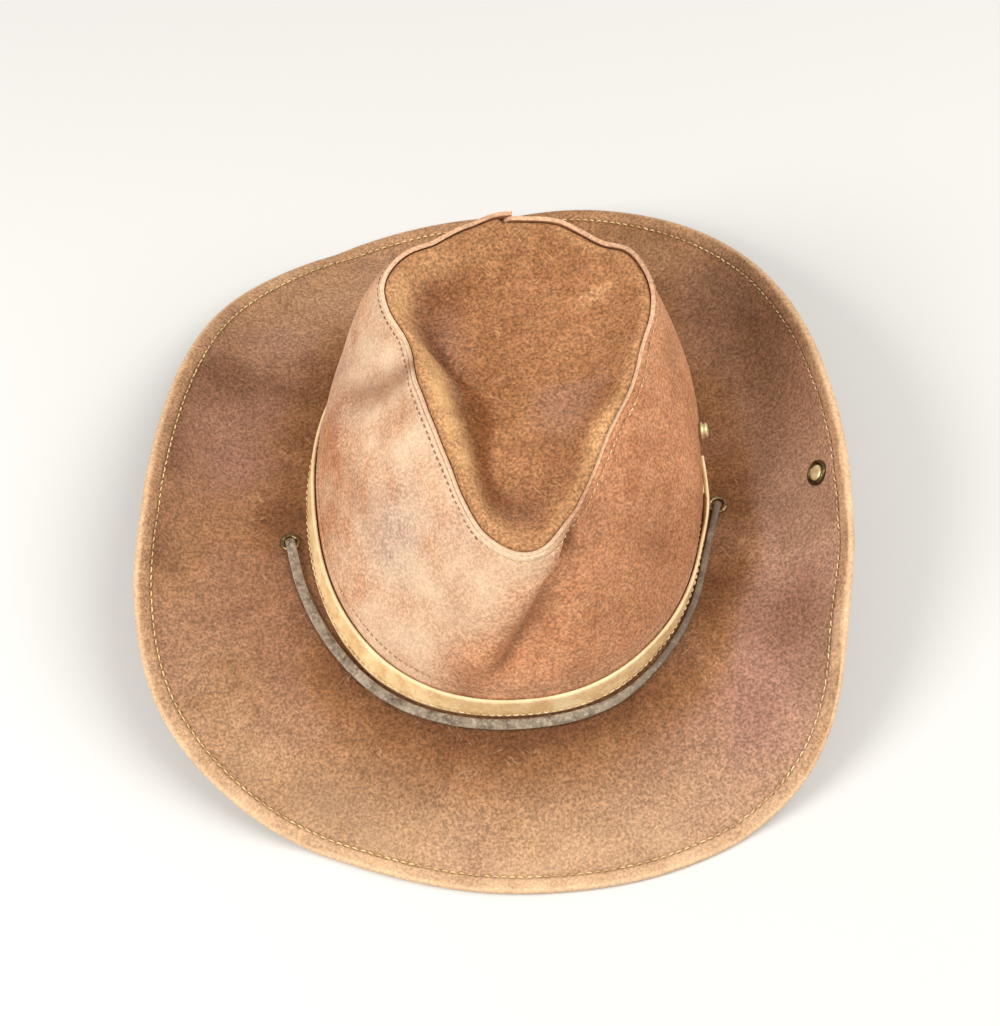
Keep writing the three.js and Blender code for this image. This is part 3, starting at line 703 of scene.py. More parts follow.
def linear(red, green, blue):
    """A colour seen as three numbers from 0 to 255, as the shader wants it."""
    parts = (np.array([red, green, blue]) / 255 + 0.055) / 1.055
    return (*(parts**2.4).tolist(), 1.0)


# The leather's hairs: how far they bend, over how much, and how long they are for their width
HAIR_SWAY = 10
HAIR_BEND = 15
HAIR_LENGTH = 12


class Shader:
    """A material's node tree, with short ways to add to it."""

    def __init__(self, name):
        self.material = bpy.data.materials.new(name)
        self.material.use_nodes = True
        self.tree = self.material.node_tree
        self.tree.nodes.clear()
        self.place = self.add("TexCoord").outputs["Object"]

    def add(self, kind, settings=None, **inputs):
        node = self.tree.nodes.new("ShaderNode" + kind)
        for key, value in (settings or {}).items():
            setattr(node, key, value)
        for key, value in inputs.items():
            self.put(node.inputs[key.replace("_", " ")], value)
        return node

    def put(self, socket, value):
        if isinstance(value, bpy.types.NodeSocket):
            self.tree.links.new(value, socket)
        else:
            socket.default_value = value

    def noise(self, size, detail=4.0, rough=0.55, place=None):
        """Noise with features of a size in millimetres."""
        scale = 1 / (size * MM)
        node = self.add("TexNoise", Vector=place or self.place, Scale=scale, Detail=detail, Roughness=rough)
        return node.outputs[0]

    def hairs(self, turn, seed):
        """Sparse curved hairs that run one way, from 0 to 1."""
        sway = self.noise(HAIR_BEND, 1.0, 0.5).node.outputs["Color"]
        bent = self.add("VectorMath", {"operation": "MULTIPLY_ADD"})
        for socket, value in zip(bent.inputs, (sway, (HAIR_SWAY * MM,) * 3, self.place)):
            self.put(socket, value)
        along = self.add(
            "Mapping",
            {"vector_type": "TEXTURE"},
            Vector=bent.outputs[0],
            Location=(seed, 0, 0),
            Rotation=(0, 0, math.radians(turn)),
            Scale=(1, HAIR_LENGTH, 1),
        )
        fine = self.noise(1, 2.0, 0.6, along.outputs[0])
        some = self.ramp(self.noise(24 + turn / 10, 2), 0.5, 0.62)
        return self.math("MULTIPLY", self.ramp(fine, 0.6, 0.68), some)

    def ramp(self, value, low, high, to_low=0.0, to_high=1.0):
        ends = {"From_Min": low, "From_Max": high, "To_Min": to_low, "To_Max": to_high}
        return self.add("MapRange", {"interpolation_type": "SMOOTHSTEP"}, Value=value, **ends).outputs[0]

    def math(self, operation, first, second):
        node = self.add("Math", {"operation": operation})
        self.put(node.inputs[0], first)
        self.put(node.inputs[1], second)
        return node.outputs[0]

    def mix(self, factor, first, second, blend="MIX"):
        node = self.add("Mix", {"data_type": "RGBA", "blend_type": blend})
        for k, value in ((0, factor), (6, first), (7, second)):
            self.put(node.inputs[k], value)
        return node.outputs[2]

    def zone(self, name):
        return self.add("Attribute", {"attribute_name": name}).outputs["Fac"]

    def bump(self, height, depth, before=None):
        node = self.add("Bump", Height=height, Distance=depth * MM, Strength=1.0)
        if before:
            self.put(node.inputs["Normal"], before)
        return node.outputs[0]

    def finish(self, **inputs):
        shader = self.add("BsdfPrincipled", None, **inputs)
        self.add("OutputMaterial", None, Surface=shader.outputs[0])
        return self.material


def suede(name, seed, grain, *tones):
    """Brushed leather: mottles, scuffs and nap, with zones that the mesh carries by vertex."""
    s = Shader(name)
    dark, main, light, deep, rose, pale = (linear(*tone) for tone in tones)
    s.place = s.add("Mapping", Vector=s.place, Location=(seed, seed * 0.7, 0)).outputs[0]
    mottle = s.ramp(s.noise(45, 2), 0.3, 0.7)
    patch = s.ramp(s.noise(9, 4, 0.6), 0.34, 0.68)
    speck = s.noise(1.35, 4, 0.72)
    fleck = s.noise(3, 3, 0.7)
    nap = s.noise(0.8, 2, 0.6)
    colour = s.mix(mottle, dark, main)
    colour = s.mix(s.math("MULTIPLY", patch, 0.34), colour, light)
    for zone, tone in (("rose", rose), ("pale", pale), ("dark", deep)):
        colour = s.mix(s.zone(zone), colour, tone)
    grains = s.ramp(speck, 0.35, 0.67, 1 - grain, 1 + grain * 1.2)
    grains = s.math("MULTIPLY", grains, s.ramp(fleck, 0.38, 0.62, 1 - grain * 0.2, 1 + grain * 0.2))
    grey = s.add("CombineColor", Red=grains, Green=grains, Blue=grains).outputs[0]
    grained = s.mix(1.0, colour, grey, "MULTIPLY")
    colour = s.mix(s.ramp(s.zone("pale"), 0.1, 0.8, 1.0, 0.45), colour, grained)
    hair = s.math("MAXIMUM", s.hairs(35, 1), s.hairs(-55, 2))
    colour = s.mix(s.math("MULTIPLY", hair, 0.22), colour, pale)
    normal = s.bump(s.noise(6, 4, 0.6), 0.4)
    normal = s.bump(speck, 0.3, normal)
    normal = s.bump(nap, 0.12, normal)
    return s.finish(
        Base_Color=colour,
        Roughness=s.ramp(speck, 0.36, 0.64, 0.95, 0.78),
        Specular_IOR_Level=0.25,
        Sheen_Weight=0.1,
        Sheen_Roughness=0.45,
        Sheen_Tint=pale,
        Normal=normal,
    )


def smooth_leather(name, rough, grain, *tones):
    s = Shader(name)
    main, dark, light = (linear(*tone) for tone in tones)
    patch = s.ramp(s.noise(7, 4, 0.6), 0.3, 0.7)
    crack = s.add("TexVoronoi", {"feature": "DISTANCE_TO_EDGE"}, Vector=s.place, Scale=1 / (grain * MM))
    pore = s.ramp(crack.outputs["Distance"], 0.0, 0.18)
    colour = s.mix(patch, dark, main)
    colour = s.mix(s.math("MULTIPLY", s.ramp(s.noise(1.6, 3), 0.45, 0.75), 0.5), colour, light)
    colour = s.mix(s.zone("pale"), colour, light)
    colour = s.mix(s.zone("dark"), colour, dark)
    normal = s.bump(pore, 0.05)
    normal = s.bump(s.noise(2.6, 3), 0.18, normal)
    roughness = s.ramp(patch, 0, 1, rough - 0.08, rough + 0.1)
    return s.finish(Base_Color=colour, Roughness=roughness, Normal=normal)


def thread(name, main, dark):
    s = Shader(name)
    fibre = s.noise(0.5, 2)
    colour = s.mix(s.ramp(s.noise(9, 2), 0.35, 0.65), dark, main)
    colour = s.mix(s.ramp(fibre, 0.55, 0.8, 0, 0.5), colour, dark)
    return s.finish(Base_Color=colour, Roughness=0.7, Sheen_Weight=0.2, Normal=s.bump(fibre, 0.08))


def metal(name, main, dull, metallic=1.0):
    s = Shader(name)
    wear = s.ramp(s.noise(2.4, 4, 0.65), 0.38, 0.62)
    scratch = s.noise(0.5, 3)
    return s.finish(
        Base_Color=s.mix(wear, dull, main),
        Metallic=metallic,
        Roughness=s.ramp(wear, 0, 1, 0.5, 0.28),
        Normal=s.bump(scratch, 0.02),
    )


# Colours, as seen in the photograph's light. Each suede has a seed, a grain and its dark, main, light,
# deep, rose and pale tones

# The brim's deep tone also paints the shade in the ring round the crown and the crown's shadow at the right
SUEDE_BRIM = suede(
    "brim_suede", 0.0, 0.36,
    (118, 76, 44), (138, 94, 58), (168, 122, 84), (92, 54, 28), (154, 114, 98), (224, 188, 150),
)
# The crown's rose tone mostly paints the shade of the shallow dent at the left front; its deep tone also
# paints the shade in the front crease, the left dent, the groove under the cut edge and the right front
SUEDE_WALL = suede(
    "crown_suede", 3.1, 0.34,
    (168, 112, 76), (188, 130, 92), (212, 158, 118), (124, 78, 48), (158, 128, 114), (220, 192, 162),
)
# The panel's pale tone also paints the highlight on its lit rolled margins
SUEDE_TIP = suede(
    "tip_suede", 7.3, 0.4,
    (130, 84, 50), (146, 98, 63), (178, 128, 88), (102, 56, 20), (144, 106, 88), (246, 198, 140),
)
BAND_LEATHER = smooth_leather("pale_leather", 0.55, 1.3, (236, 204, 152), (210, 168, 114), (246, 226, 184))
# The grey leather's light tone also paints the highlight along the lace's edges
LACE_LEATHER = smooth_leather("grey_leather", 0.5, 1.7, (148, 133, 113), (80, 60, 45), (200, 184, 158))
YELLOW_THREAD = thread("hem_thread", linear(228, 202, 140), linear(190, 154, 96))
BROWN_THREAD = thread("brown_thread", linear(164, 114, 78), linear(118, 78, 50))
TAN_THREAD = thread("tan_thread", linear(188, 140, 100), linear(150, 104, 70))
CREAM_THREAD = thread("cream_thread", linear(232, 204, 156), linear(186, 150, 102))
OLD_BRASS = metal("aged_brass", linear(170, 148, 104), linear(104, 84, 58))
DARK_BRASS = metal("dark_brass", linear(128, 108, 72), linear(66, 52, 36))
PALE_BRASS = metal("pale_brass", linear(240, 228, 184), linear(206, 186, 132), 0.55)


# The chin lace, a free cord

def brim_spot(place):
    """The middle of the leather at a place on the brim, and the way up out of it."""
    length = place["out"] - PIVOT
    middle = on_brim(place["deg"], length, 0)[0]
    return middle, unit(on_brim(place["deg"], length, 1)[0] - middle)


def lace_front():
    deg = np.array([row[0] for row in LACE_FRONT], float)
    length = np.array([row[1] for row in LACE_FRONT], float) - PIVOT
    lift = LEATHER / 2 + GAP + LACE_THICKNESS / 2 + LACE_EASE
    width = unit(on_brim(deg, length + 1, 0) - on_brim(deg, length - 1, 0))
    return on_brim(deg, length, lift), width


def lace_at_eyelet(place, following, over, landing=()):
    middle, _ = brim_spot(place)
    ahead = unit((following - middle) * np.array([1, 1, 0]))
    width = np.array([ahead[1], -ahead[0], 0])
    if width @ foot(place["deg"])[1] < 0:
        width = -width
    points = [middle + ahead * step + np.array([0, 0, above]) for step, above in over]
    for step, height in landing:
        point = middle + ahead * step
        points.append(np.array([point[0], point[1], height]))
    return np.array(points), np.tile(width, (len(points), 1))


def lace_stations():
    front, front_width = lace_front()
    hidden = np.array([(x, y, LACE_THICKNESS / 2 + LACE_EASE) for x, y in LACE_HIDDEN], float)
    hidden_width = unit(hidden * np.array([1, 1, 0]))
    parts = [
        lace_at_eyelet(EYELET_LEFT, front[0], LACE_OVER),
        (front, front_width),
        [v[::-1] for v in lace_at_eyelet(EYELET_RIGHT, front[-1], LACE_OVER)],
        lace_at_eyelet(EYELET_RIGHT, hidden[0], LACE_UNDER, LACE_LANDING),
        (hidden, hidden_width),
        [v[::-1] for v in lace_at_eyelet(EYELET_LEFT, hidden[-1], LACE_UNDER, LACE_LANDING)],
    ]
    return np.vstack([p[0] for p in parts]), np.vstack([p[1] for p in parts])


def smooth_loop(points, steps):
    """A smooth closed curve through points, with so many steps between each two."""
    x0, x1, x2, x3 = (np.roll(points, k, 0)[:, None] for k in (1, 0, -1, -2))
    root = lambda step: np.linalg.norm(step, axis=-1, keepdims=True) ** 0.5
    d0, d1, d2 = root(x1 - x0), root(x2 - x1), root(x3 - x2)
    m1 = ((x1 - x0) / d0 - (x2 - x0) / (d0 + d1) + (x2 - x1) / d1) * d1
    m2 = ((x2 - x1) / d1 - (x3 - x1) / (d1 + d2) + (x3 - x2) / d2) * d1
    t = (np.arange(steps) / steps)[:, None]
    curve = x1 + m1 * t + (-3 * x1 + 3 * x2 - 2 * m1 - m2) * t**2 + (2 * x1 - 2 * x2 + m1 + m2) * t**3
    return curve.reshape(-1, 3)


def make_lace():
    stations, widths = lace_stations()
    path = smooth_loop(stations, LACE_STEPS)
    ahead = unit(np.roll(path, -1, 0) - np.roll(path, 1, 0))
    part = np.arange(len(path)) / LACE_STEPS
    wrapped = np.vstack([widths, widths[:1]])
    width = np.stack([np.interp(part, np.arange(len(wrapped)), wrapped[:, k]) for k in range(3)], -1)
    width = unit(width - ahead * np.sum(width * ahead, -1, keepdims=True))
    up = np.cross(width, ahead)[:, None]
    angle = np.arange(LACE_SIDES) / LACE_SIDES * 2 * np.pi
    flat = lambda value, power: (np.sign(value) * np.abs(value) ** power)[:, None]
    across = flat(np.cos(angle), 0.5)
    narrow = 1 - LACE_NARROWS * smooth(25, 70, path[:, 0]) * smooth(9, 12, path[:, 2])
    points = path[:, None] + (width * narrow[:, None])[:, None] * across * LACE_WIDTH / 2
    points = points + up * flat(np.sin(angle), 0.7) * LACE_THICKNESS / 2
    wear = noise(points, 9, 5)
    # pale: a painted highlight along both edges of the lace; dark: wear, and darker towards the right end
    zones = {
        "pale": smooth(0.8, 1.0, np.abs(across[:, 0]))[None, :] * 0.6 * smooth(-0.5, 0.4, wear),
        "dark": np.clip(0.25 * smooth(0.1, 0.7, wear) + 0.55 * smooth(20, 75, points[..., 0]), 0, 0.8),
    }
    points = points + up * (0.12 * noise(points, 6, 8))[..., None]
    points[..., 2] = np.maximum(points[..., 2], 0.01)
    faces = [grid_faces(*points.shape[:2], True, True)]
    piece = finish_mesh("chin_lace_leather", points, faces, LACE_LEATHER, "chin_lace", zones)


make_lace()


# The brim

def ripples(points, waves):
    """Waves of the worn leather, each with its depth, its size and its seed."""
    return sum(depth * noise(points, size, seed) for depth, size, seed in waves)


def brim_relief(deg, length, plane, height):
    """Ripples of the worn leather over the plain form."""
    across = plane[..., 1] * math.cos(WAVE_TURN) - plane[..., 0] * math.sin(WAVE_TURN)
    along_wave = plane[..., 0] * math.cos(WAVE_TURN) + plane[..., 1] * math.sin(WAVE_TURN)
    wave = noise(np.stack([along_wave / WAVE_STRETCH, across, 0 * across], -1), WAVE_WIDTH, 4)
    ripple = ripples(plane, BRIM_RIPPLES) + 1.1 * wave * bell(turned(deg, 55), 0, 38)
    return ripple * smooth(15, 32, length) * smooth(0.3, 7, height - REST_HEIGHT)


def hem_relief(edge, run):
    """The raised hem outside its row of stitches, measured from the edge."""
    swell = 0.4 * bell(edge, 3.6, 2.2)
    pucker = 0.12 * np.cos(run / STITCH_PITCH * 2 * np.pi) * bell(edge, HEM_SEAM, 2.2)
    return swell + pucker - 0.5 * bell(edge, HEM_SEAM, 0.8)


def brim_zones(deg, length, edge, plane):
    mottle = noise(plane, 26, 11)
    blotch = noise(plane, 9, 12)
    place = lambda middle, wide: bell(turned(deg, middle), 0, wide)
    off_back = lambda low, high: smooth(high, low, np.abs(turned(deg, 0)))
    front = place(-5, 62)
    # Painted shade in the deep tone: a ring round the crown's foot, strongest at the front, partly dirt and
    # partly shade under the band and lace; and the painted shadow of the crown on the brim at its right
    # (azimuth 108)
    dark = bell(length, 12, 11) * (0.25 + 0.5 * front) + place(108, 30) * bell(length, 20, 18) * 0.12
    dark = dark + 0.38 * smooth(0, 0.8, mottle) * (1 - 0.4 * front) + 0.12 * blotch
    dark = dark + patches(BRIM_PATCHES, deg, length, "dark")
    rose = place(70, 42) * smooth(24, 42, length + 6 * mottle) * (0.85 + 0.3 * mottle)
    rose = rose + 0.25 * smooth(0, 0.7, -mottle) + 0.5 * place(-112, 22) * smooth(12, 40, length)
    rose = rose + patches(BRIM_PATCHES, deg, length, "rose")
    worn = 0.5 * front * smooth(22, 74, length) * (1 + 0.35 * mottle)
    worn = worn + 0.2 * place(-150, 30) * smooth(20, 50, length)
    worn = worn + 0.16 * place(85, 30) * smooth(24, 40, length)
    worn = worn + patches(BRIM_PATCHES, deg, length, "pale")
    hem = smooth(HEM_SEAM + 0.4, HEM_SEAM - 1, edge) * (0.09 + 0.1 * off_back(110, 160))
    rub = 0.42 * smooth(2.6, 0.2, edge) * (0.5 + 0.5 * off_back(130, 170))
    return {
        "dark": np.clip(dark * smooth(4, 9, edge) + 0.3 * bell(edge, HEM_SEAM, 1.1), 0, 0.85),
        "rose": np.clip(rose * smooth(3, 8, edge), 0, 0.8),
        "pale": np.clip((worn + hem) * (0.9 + 0.25 * blotch) + rub, 0, 0.9),
    }


def hem_run(deg):
    """The length along the seam at each azimuth."""
    turn = np.arange(2 * BRIM_AROUND) / (2 * BRIM_AROUND) * TURN
    seam = on_brim(turn, around(BRIM, "width", turn) - HEM_SEAM, 0)
    return np.interp(deg, np.append(turn, TURN), along(np.vstack([seam, seam[:1]])))


def make_brim():
    deg = np.arange(BRIM_AROUND) / BRIM_AROUND * TURN
    width = around(BRIM, "width", deg)[:, None]
    start = around(BRIM, "start", deg)[:, None]
    half = LEATHER / 2
    collar = []
    for rise in np.linspace(COLLAR_RISE, 1, 5):
        inside = wall_reach(deg, FOOT_HEIGHT + rise) - LEATHER * WALL_SLANT - GAP - half
        out = np.minimum(PIVOT - COLLAR_BEND, inside)[:, None]
        collar.append((out, np.full_like(out, FOOT_HEIGHT + rise), np.full_like(out, -np.pi / 2)))
    for part in np.linspace(0, 0.9, 7):
        lean = np.radians(-90 + (start + 90) * part)
        out = PIVOT + COLLAR_BEND * np.sin(lean)
        collar.append((out, FOOT_HEIGHT + COLLAR_BEND * (1 - np.cos(lean)), lean))
    bend = [np.hstack([c[k] for c in collar]) for k in range(3)]

    def side(spots, above):
        out, z, lean = spots
        wide_deg = np.broadcast_to(deg[:, None], out.shape)
        return off_foot(wide_deg, out - np.sin(lean) * above, z + np.cos(lean) * above)

    def ripple(length, spots):
        return brim_relief(deg[:, None], length, off_foot(deg[:, None], spots[0], 0), spots[1])

    over = np.hstack([np.linspace(0.01, 1, BRIM_TOP_STEPS) * (width - HEM_START), width - np.array(HEM_ROWS)])
    spots = brim_middle(deg, over)
    top = side(spots, half + ripple(over, spots) + hem_relief(width - over, hem_run(deg)[:, None]))
    turn = np.radians(np.linspace(75, -75, 9))
    round_length = width - HEM_ROUND + HEM_ROUND * np.cos(turn)
    out, z, lean = brim_middle(deg, np.minimum(round_length, width))
    past = round_length - np.minimum(round_length, width)
    edge = side((out + past, z, lean), -HEM_FOLD / 2 + (HEM_FOLD + LEATHER) / 2 * np.sin(turn))
    hem_rows = width - np.array(HEM_UNDER_ROWS)
    under = np.hstack([hem_rows, np.linspace(1, 0.01, BRIM_UNDER_STEPS) * (width - HEM_START)])
    below = np.full(under.shape[1], -half)
    below[: len(HEM_UNDER_ROWS) - 2] -= HEM_FOLD
    spots = brim_middle(deg, under)
    bottom = side(spots, below + ripple(under, spots))
    bottom[..., 2] = np.maximum(bottom[..., 2], 0.01)
    points = np.concatenate([side(bend, half), top, edge, bottom, side(bend, -half)[:, ::-1]], 1)
    lengths = np.hstack([bend[0] * 0, over, round_length, under, bend[0] * 0])
    zones = brim_zones(deg[:, None], lengths, width - lengths, points * LEVEL)
    faces = [grid_faces(*points.shape[:2], True, True)]
    finish_mesh("brim_leather", points, faces, SUEDE_BRIM, "brim", zones)


def make_hem_stitches():
    first, last = HEM_THREAD_CHANGE
    for name, start, end, material in (
        ("hem_stitches_left", last, first + TURN, YELLOW_THREAD),
        ("hem_stitches_right", first + HEM_LINE_STEP, last - HEM_LINE_STEP, CREAM_THREAD),
    ):
        deg = np.linspace(start, end, round((end - start) / HEM_LINE_STEP) + 1)
        length = around(BRIM, "width", deg) - HEM_SEAM
        out, z, _ = (v[:, 0] for v in brim_middle(deg, length[:, None]))
        above = LEATHER / 2 + brim_relief(deg, length, off_foot(deg, out, 0), z) - 0.25
        line = on_brim(deg, length, above)
        sew(name, line, on_brim(deg, length, above + 1) - line, "brim_suede", material, 4)


make_brim()
make_hem_stitches()


# The crown's wall

def off_line(line, deg, up):
    """How many degrees a place lies past a crease's line."""
    return turned(deg, np.interp(up, line["up"], line["deg"]))


def wall_relief(points, deg, up, down):
    """Ripples of the worn leather, the sharp crease down the front and the dent at the left."""
    loose = smooth(43, 56, points[..., 2]) * smooth(0, 9, down)
    past = off_line(CREASE, deg, up)
    crease = 1.7 * bell(past, -5, 4) - 2.4 * bell(past, 2.2, 2.6)
    crease *= smooth(0.2, 0.42, up) * smooth(1.0, 0.9, up)
    past = off_line(DENT, deg, up)
    dent = 0.9 * bell(past, -9, 5) - 2.6 * bell(past, 0, 4.5) + 0.9 * bell(past, 9, 5)
    dent *= smooth(0.5, 0.66, up) * smooth(1.0, 0.93, up)
    return ripples(points, WALL_RIPPLES) * loose + crease + dent


def wall_seams(points, down):
    """The sunk seams along the rim and above the band, and the fine line at the cut edge."""
    margin = 0.14 * bell(down, 2.4, 1) - 0.4 * bell(down, RIM_SEAM, 0.8) - 0.3 * bell(down, EDGE_LINE, 0.3)
    return margin - 0.3 * bell(points[..., 2], WALL_SEAM_HEIGHT, 0.7)


def wall_zones(deg, up, down, points):
    mottle, patch, blotch = noise(points, 26, 31), noise(points, 13, 32), noise(points, 6, 33)
    past = off_line(CREASE, deg, up) + 1.5 * patch
    side = turned(deg, 0)
    # Painted shade: valley darkens the colour along the front crease, and dent along the dent at the left
    valley = bell(past, 1.2, 2.6) * smooth(0.2, 0.42, up) * smooth(1.0, 0.93, up)
    dent = bell(off_line(DENT, deg, up) + 2 * patch, -0.5, 4.5) * smooth(0.48, 0.66, up)
    # Painted shade: shade marks the shade of the shallow dent at the left front, painted in the rose tone and
    # taken out of the pale
    shade = bell(side, -57, 15 + 5 * blotch) * bell(up, 0.6, 0.2)
    low_left = bell(side, -88, 30) * smooth(0.7, 0.2, up)
    fade = past + FADE_SHIFT + FADE_SPREAD * smooth(0.8, 0.3, up)
    # The pale left side: partly the leather's own lighter tone, partly painted light where the wall faces the
    # key light at the left
    left = smooth(-156, -120, side) * smooth(150, 100, side)
    left = left * smooth(FADE_WIDTH / 2, -FADE_WIDTH / 2, fade + 3 * blotch)
    foot_rub = smooth(16, 3, points[..., 2] - FOOT_HEIGHT - BAND_HEIGHT)
    # Painted shade: line darkens the fine groove just under the cut top edge on the left and front
    line = bell(down, EDGE_LINE, 0.35) * smooth(-130, -110, side) * smooth(-10, -30, side)
    raw = smooth(0.35, 0.05, down) * (0.42 - 0.3 * bell(side, -5, 25) + 0.2 * bell(side, 75, 45))
    margin = smooth(RIM_SEAM + 2, RIM_SEAM - 1, down) * smooth(-150, -100, side) * smooth(30, 5, side)
    dark = 0.55 * valley + 0.6 * dent + 0.5 * line + 0.35 * smooth(0, 0.8, mottle) * (1 - 0.6 * left)
    # Painted shade: the right front, turned away from the key light, is darkened
    dark = dark + 0.2 * bell(side, 40, 28) * bell(up, 0.5, 0.3) + patches(WALL_PATCHES, deg, up, "dark")
    rose = 0.95 * shade + 0.4 * smooth(0, 0.8, -mottle) * left
    pale = left * (0.62 + 0.35 * patch + 0.18 * blotch - 0.5 * low_left)
    pale = pale + raw + 0.35 * margin + 0.15 * foot_rub + patches(WALL_PATCHES, deg, up, "pale")
    return {
        "dark": np.clip(dark, 0, 0.85),
        "rose": np.clip(rose, 0, 0.85),
        "pale": np.clip(pale * (1 - 0.6 * line) * (1 - 0.5 * shade), 0, 0.85),
    }


def wall_grid(deg, up):
    """The wall's outer face as rows of azimuths, its normals and the length down from the top edge."""
    deg, up = np.meshgrid(deg, up, indexing="ij")
    up = up * (1 - LAP_TRIM * smooth(TRIM_FROM, TRIM_TO, deg))
    points, out = wall_outer(deg, up), wall_out(deg, up)
    steps = np.linalg.norm(np.diff(points, axis=1), axis=-1)
    down = np.cumsum(steps[:, ::-1], 1)[:, ::-1]
    down = np.hstack([down, np.zeros((len(down), 1))])
    step = np.where(deg < -TURN / 4, lap_step(deg), 0)
    return deg, up, points + out * step[..., None], out, down


def make_wall():
    turn = np.linspace(LAP_OUTER_END - TURN, LAP_INNER_END, WALL_AROUND)
    levels = np.concatenate([np.linspace(*stretch) for stretch in WALL_LEVELS])
    deg, up, points, out, down = wall_grid(turn, levels)
    ripple = wall_relief(points, deg, up, down)
    soft = 0.1 * smooth(0.4, 0, down) + 0.3 * smooth(0.03, 0, up)
    outer = points + out * (ripple + wall_seams(points, down) - soft)[..., None]
    inner = points + out * (ripple - LEATHER + soft)[..., None]
    rise = unit(outer[:, -1] - outer[:, -3])[:, None]
    part = np.array(RAW_EDGE)[:, None]
    crest = inner[:, -1:] * (1 - part) + outer[:, -1:] * part
    crest = crest + rise * (0.08 + 0.1 * noise(crest, 0.9, 24) + 0.06 * noise(crest, 2.5, 25))[..., None]
    section = np.concatenate([inner, crest, outer[:, ::-1]], 1)
    edge = lambda value: np.repeat(value[:, -1:], len(part), 1)
    zones = wall_zones(deg, up, down, points)
    zones = {key: np.concatenate([value, edge(value), value[:, ::-1]], 1) for key, value in zones.items()}
    faces = strip_faces(section)
    finish_mesh("crown_side_leather", section, faces, SUEDE_WALL, "crown_side", zones)


def wall_line(deg, depth=None, height=None):
    """A line on the wall at a depth below its top edge, or at a height, and its normals."""
    grid_deg, up, points, out, down = wall_grid(deg, np.linspace(0, 1, 160))
    key, target = (down, depth) if height is None else (points[..., 2], height)
    at = np.argmin(np.abs(key - target), 1)
    row = np.arange(len(deg))
    spots = points + out * (wall_relief(points, grid_deg, up, down) - 0.2)[..., None]
    return spots[row, at], out[row, at]


def make_wall_stitches():
    first, last = LAP_OUTER_END - TURN + 2, LAP_OUTER_END - 2
    for name, start, end, material in (
        ("rim_stitches_left", first, RIM_THREAD_CHANGE, BROWN_THREAD),
        ("rim_stitches_right", RIM_THREAD_CHANGE, last, CREAM_THREAD),
    ):
        row = wall_line(np.linspace(start, end, 800), depth=RIM_SEAM)
        sew(name, *row, "crown_suede", material, 6, length=2, pitch=3.1, radius=0.28, proud=0.15)
    row = wall_line(np.linspace(first, last, 1400), height=WALL_SEAM_HEIGHT)
    sew("wall_stitches", *row, "crown_suede", TAN_THREAD, 7, length=2.2, pitch=3, radius=0.26, proud=0.1)
    lap = np.array([LAP_OUTER_END - TURN + LAP_SEAM])
    deg, up, points, out, down = wall_grid(lap, np.linspace(0.14, 0.94, 300))
    line = points + out * (wall_relief(points, deg, up, down) - 0.1)[..., None]
    sew("lap_stitches", line[0], out[0], "crown_suede", TAN_THREAD, 8, length=2.4, pitch=3.2, radius=0.3)


make_wall()
make_wall_stitches()


# The teardrop panel

def tip_zones(deg, inward, valley, left, top):
    blotch = noise(top, 7, 44)
    # Painted shade in the deep tone: corner darkens the back-left of the panel, and dark the valley inside
    # the left roll
    corner = 0.6 * bell(turned(deg, -153), 0, 17) * bell(inward, 20, 9)
    # Painted highlight in the pale tone: roll lightens the rolled margin at the left and the margin at the
    # right front, where they face the light
    roll = 1.25 * bell(inward, 0.43 * valley, 0.3 * valley) * left * (0.75 + 0.35 * blotch)
    roll = roll + 0.3 * bell(inward, 4, 4) * bell(turned(deg, 60), 0, 28)
    dark = 0.9 * bell(inward, valley + 1, 8) * bell(turned(deg, -70), 0, 75) + corner
    x, y = top[..., 0] - SCUFF[0], top[..., 1] - SCUFF[1]
    scuff = 0.5 * bell(x, 0, 7) * bell(y, 0.3 * x, 3) * (0.5 + noise(top / [3, 1, 1], 0.9, 47))
    return {
        "dark": np.clip(dark + 0.25 * smooth(0, 0.7, noise(top, 22, 45)), 0, 0.8),
        "rose": np.clip(0.5 * smooth(0, 0.7, noise(top, 28, 46)) * smooth(8, 20, inward), 0, 0.8),
        "pale": np.clip(0.8 * roll + scuff + 0.12 * smooth(8, 1, inward), 0, 0.85),
    }


def make_tip():
    turn = np.arange(TIP_AROUND) / TIP_AROUND * TURN
    parts = np.concatenate([np.linspace(0.02, 0.68, 26), np.linspace(0.7, 1, 36)])
    deg, part = np.meshgrid(turn, parts, indexing="ij")
    off_centre = (tip_edge(deg) - np.array([TIP_X, TIP_Y, 0])) * LEVEL
    inward = (1 - part) * np.linalg.norm(off_centre, axis=-1)
    left = bell(turned(deg, -85), 0, 60)
    valley = 19 + 8 * smooth(-85, -120, turned(deg, 0))
    top = tip_top(deg, part)
    ripple = ripples(top, TIP_RIPPLES) * smooth(1, 9, inward)
    ripple = ripple + 1.6 * left * bell(inward, 9, 4.5) - 0.8 * left * bell(inward, valley, 6)
    soft = 0.15 * smooth(0.6, 0, inward)
    top = top + unit(off_centre) * (TIP_CLOSER * smooth(3, 0, inward))[..., None]
    lift = lambda rise: top + rise[..., None] * np.array([0, 0, 1])
    upper, lower = lift(ripple - soft), lift(ripple - TIP_THICKNESS + soft)
    points = np.concatenate([upper, lower[:, ::-1]], 1)
    rows, columns = points.shape[:2]
    hub = [[TIP_X, TIP_Y, side[:, 0, 2].mean()] for side in (upper, lower)]
    zones = {
        key: np.append(np.concatenate([value, value[:, ::-1]], 1), [0, 0])
        for key, value in tip_zones(deg, inward, valley, left, top).items()
    }
    middles = fans(rows, 0, columns - 1, columns, rows * columns)
    faces = [grid_faces(rows, columns, True, False)] + [some[:, ::-1] for some in middles]
    points = np.vstack([points.reshape(-1, 3), hub])
    finish_mesh("crown_tip_leather", points, faces, SUEDE_TIP, "crown_tip", zones)


make_tip()


# The band

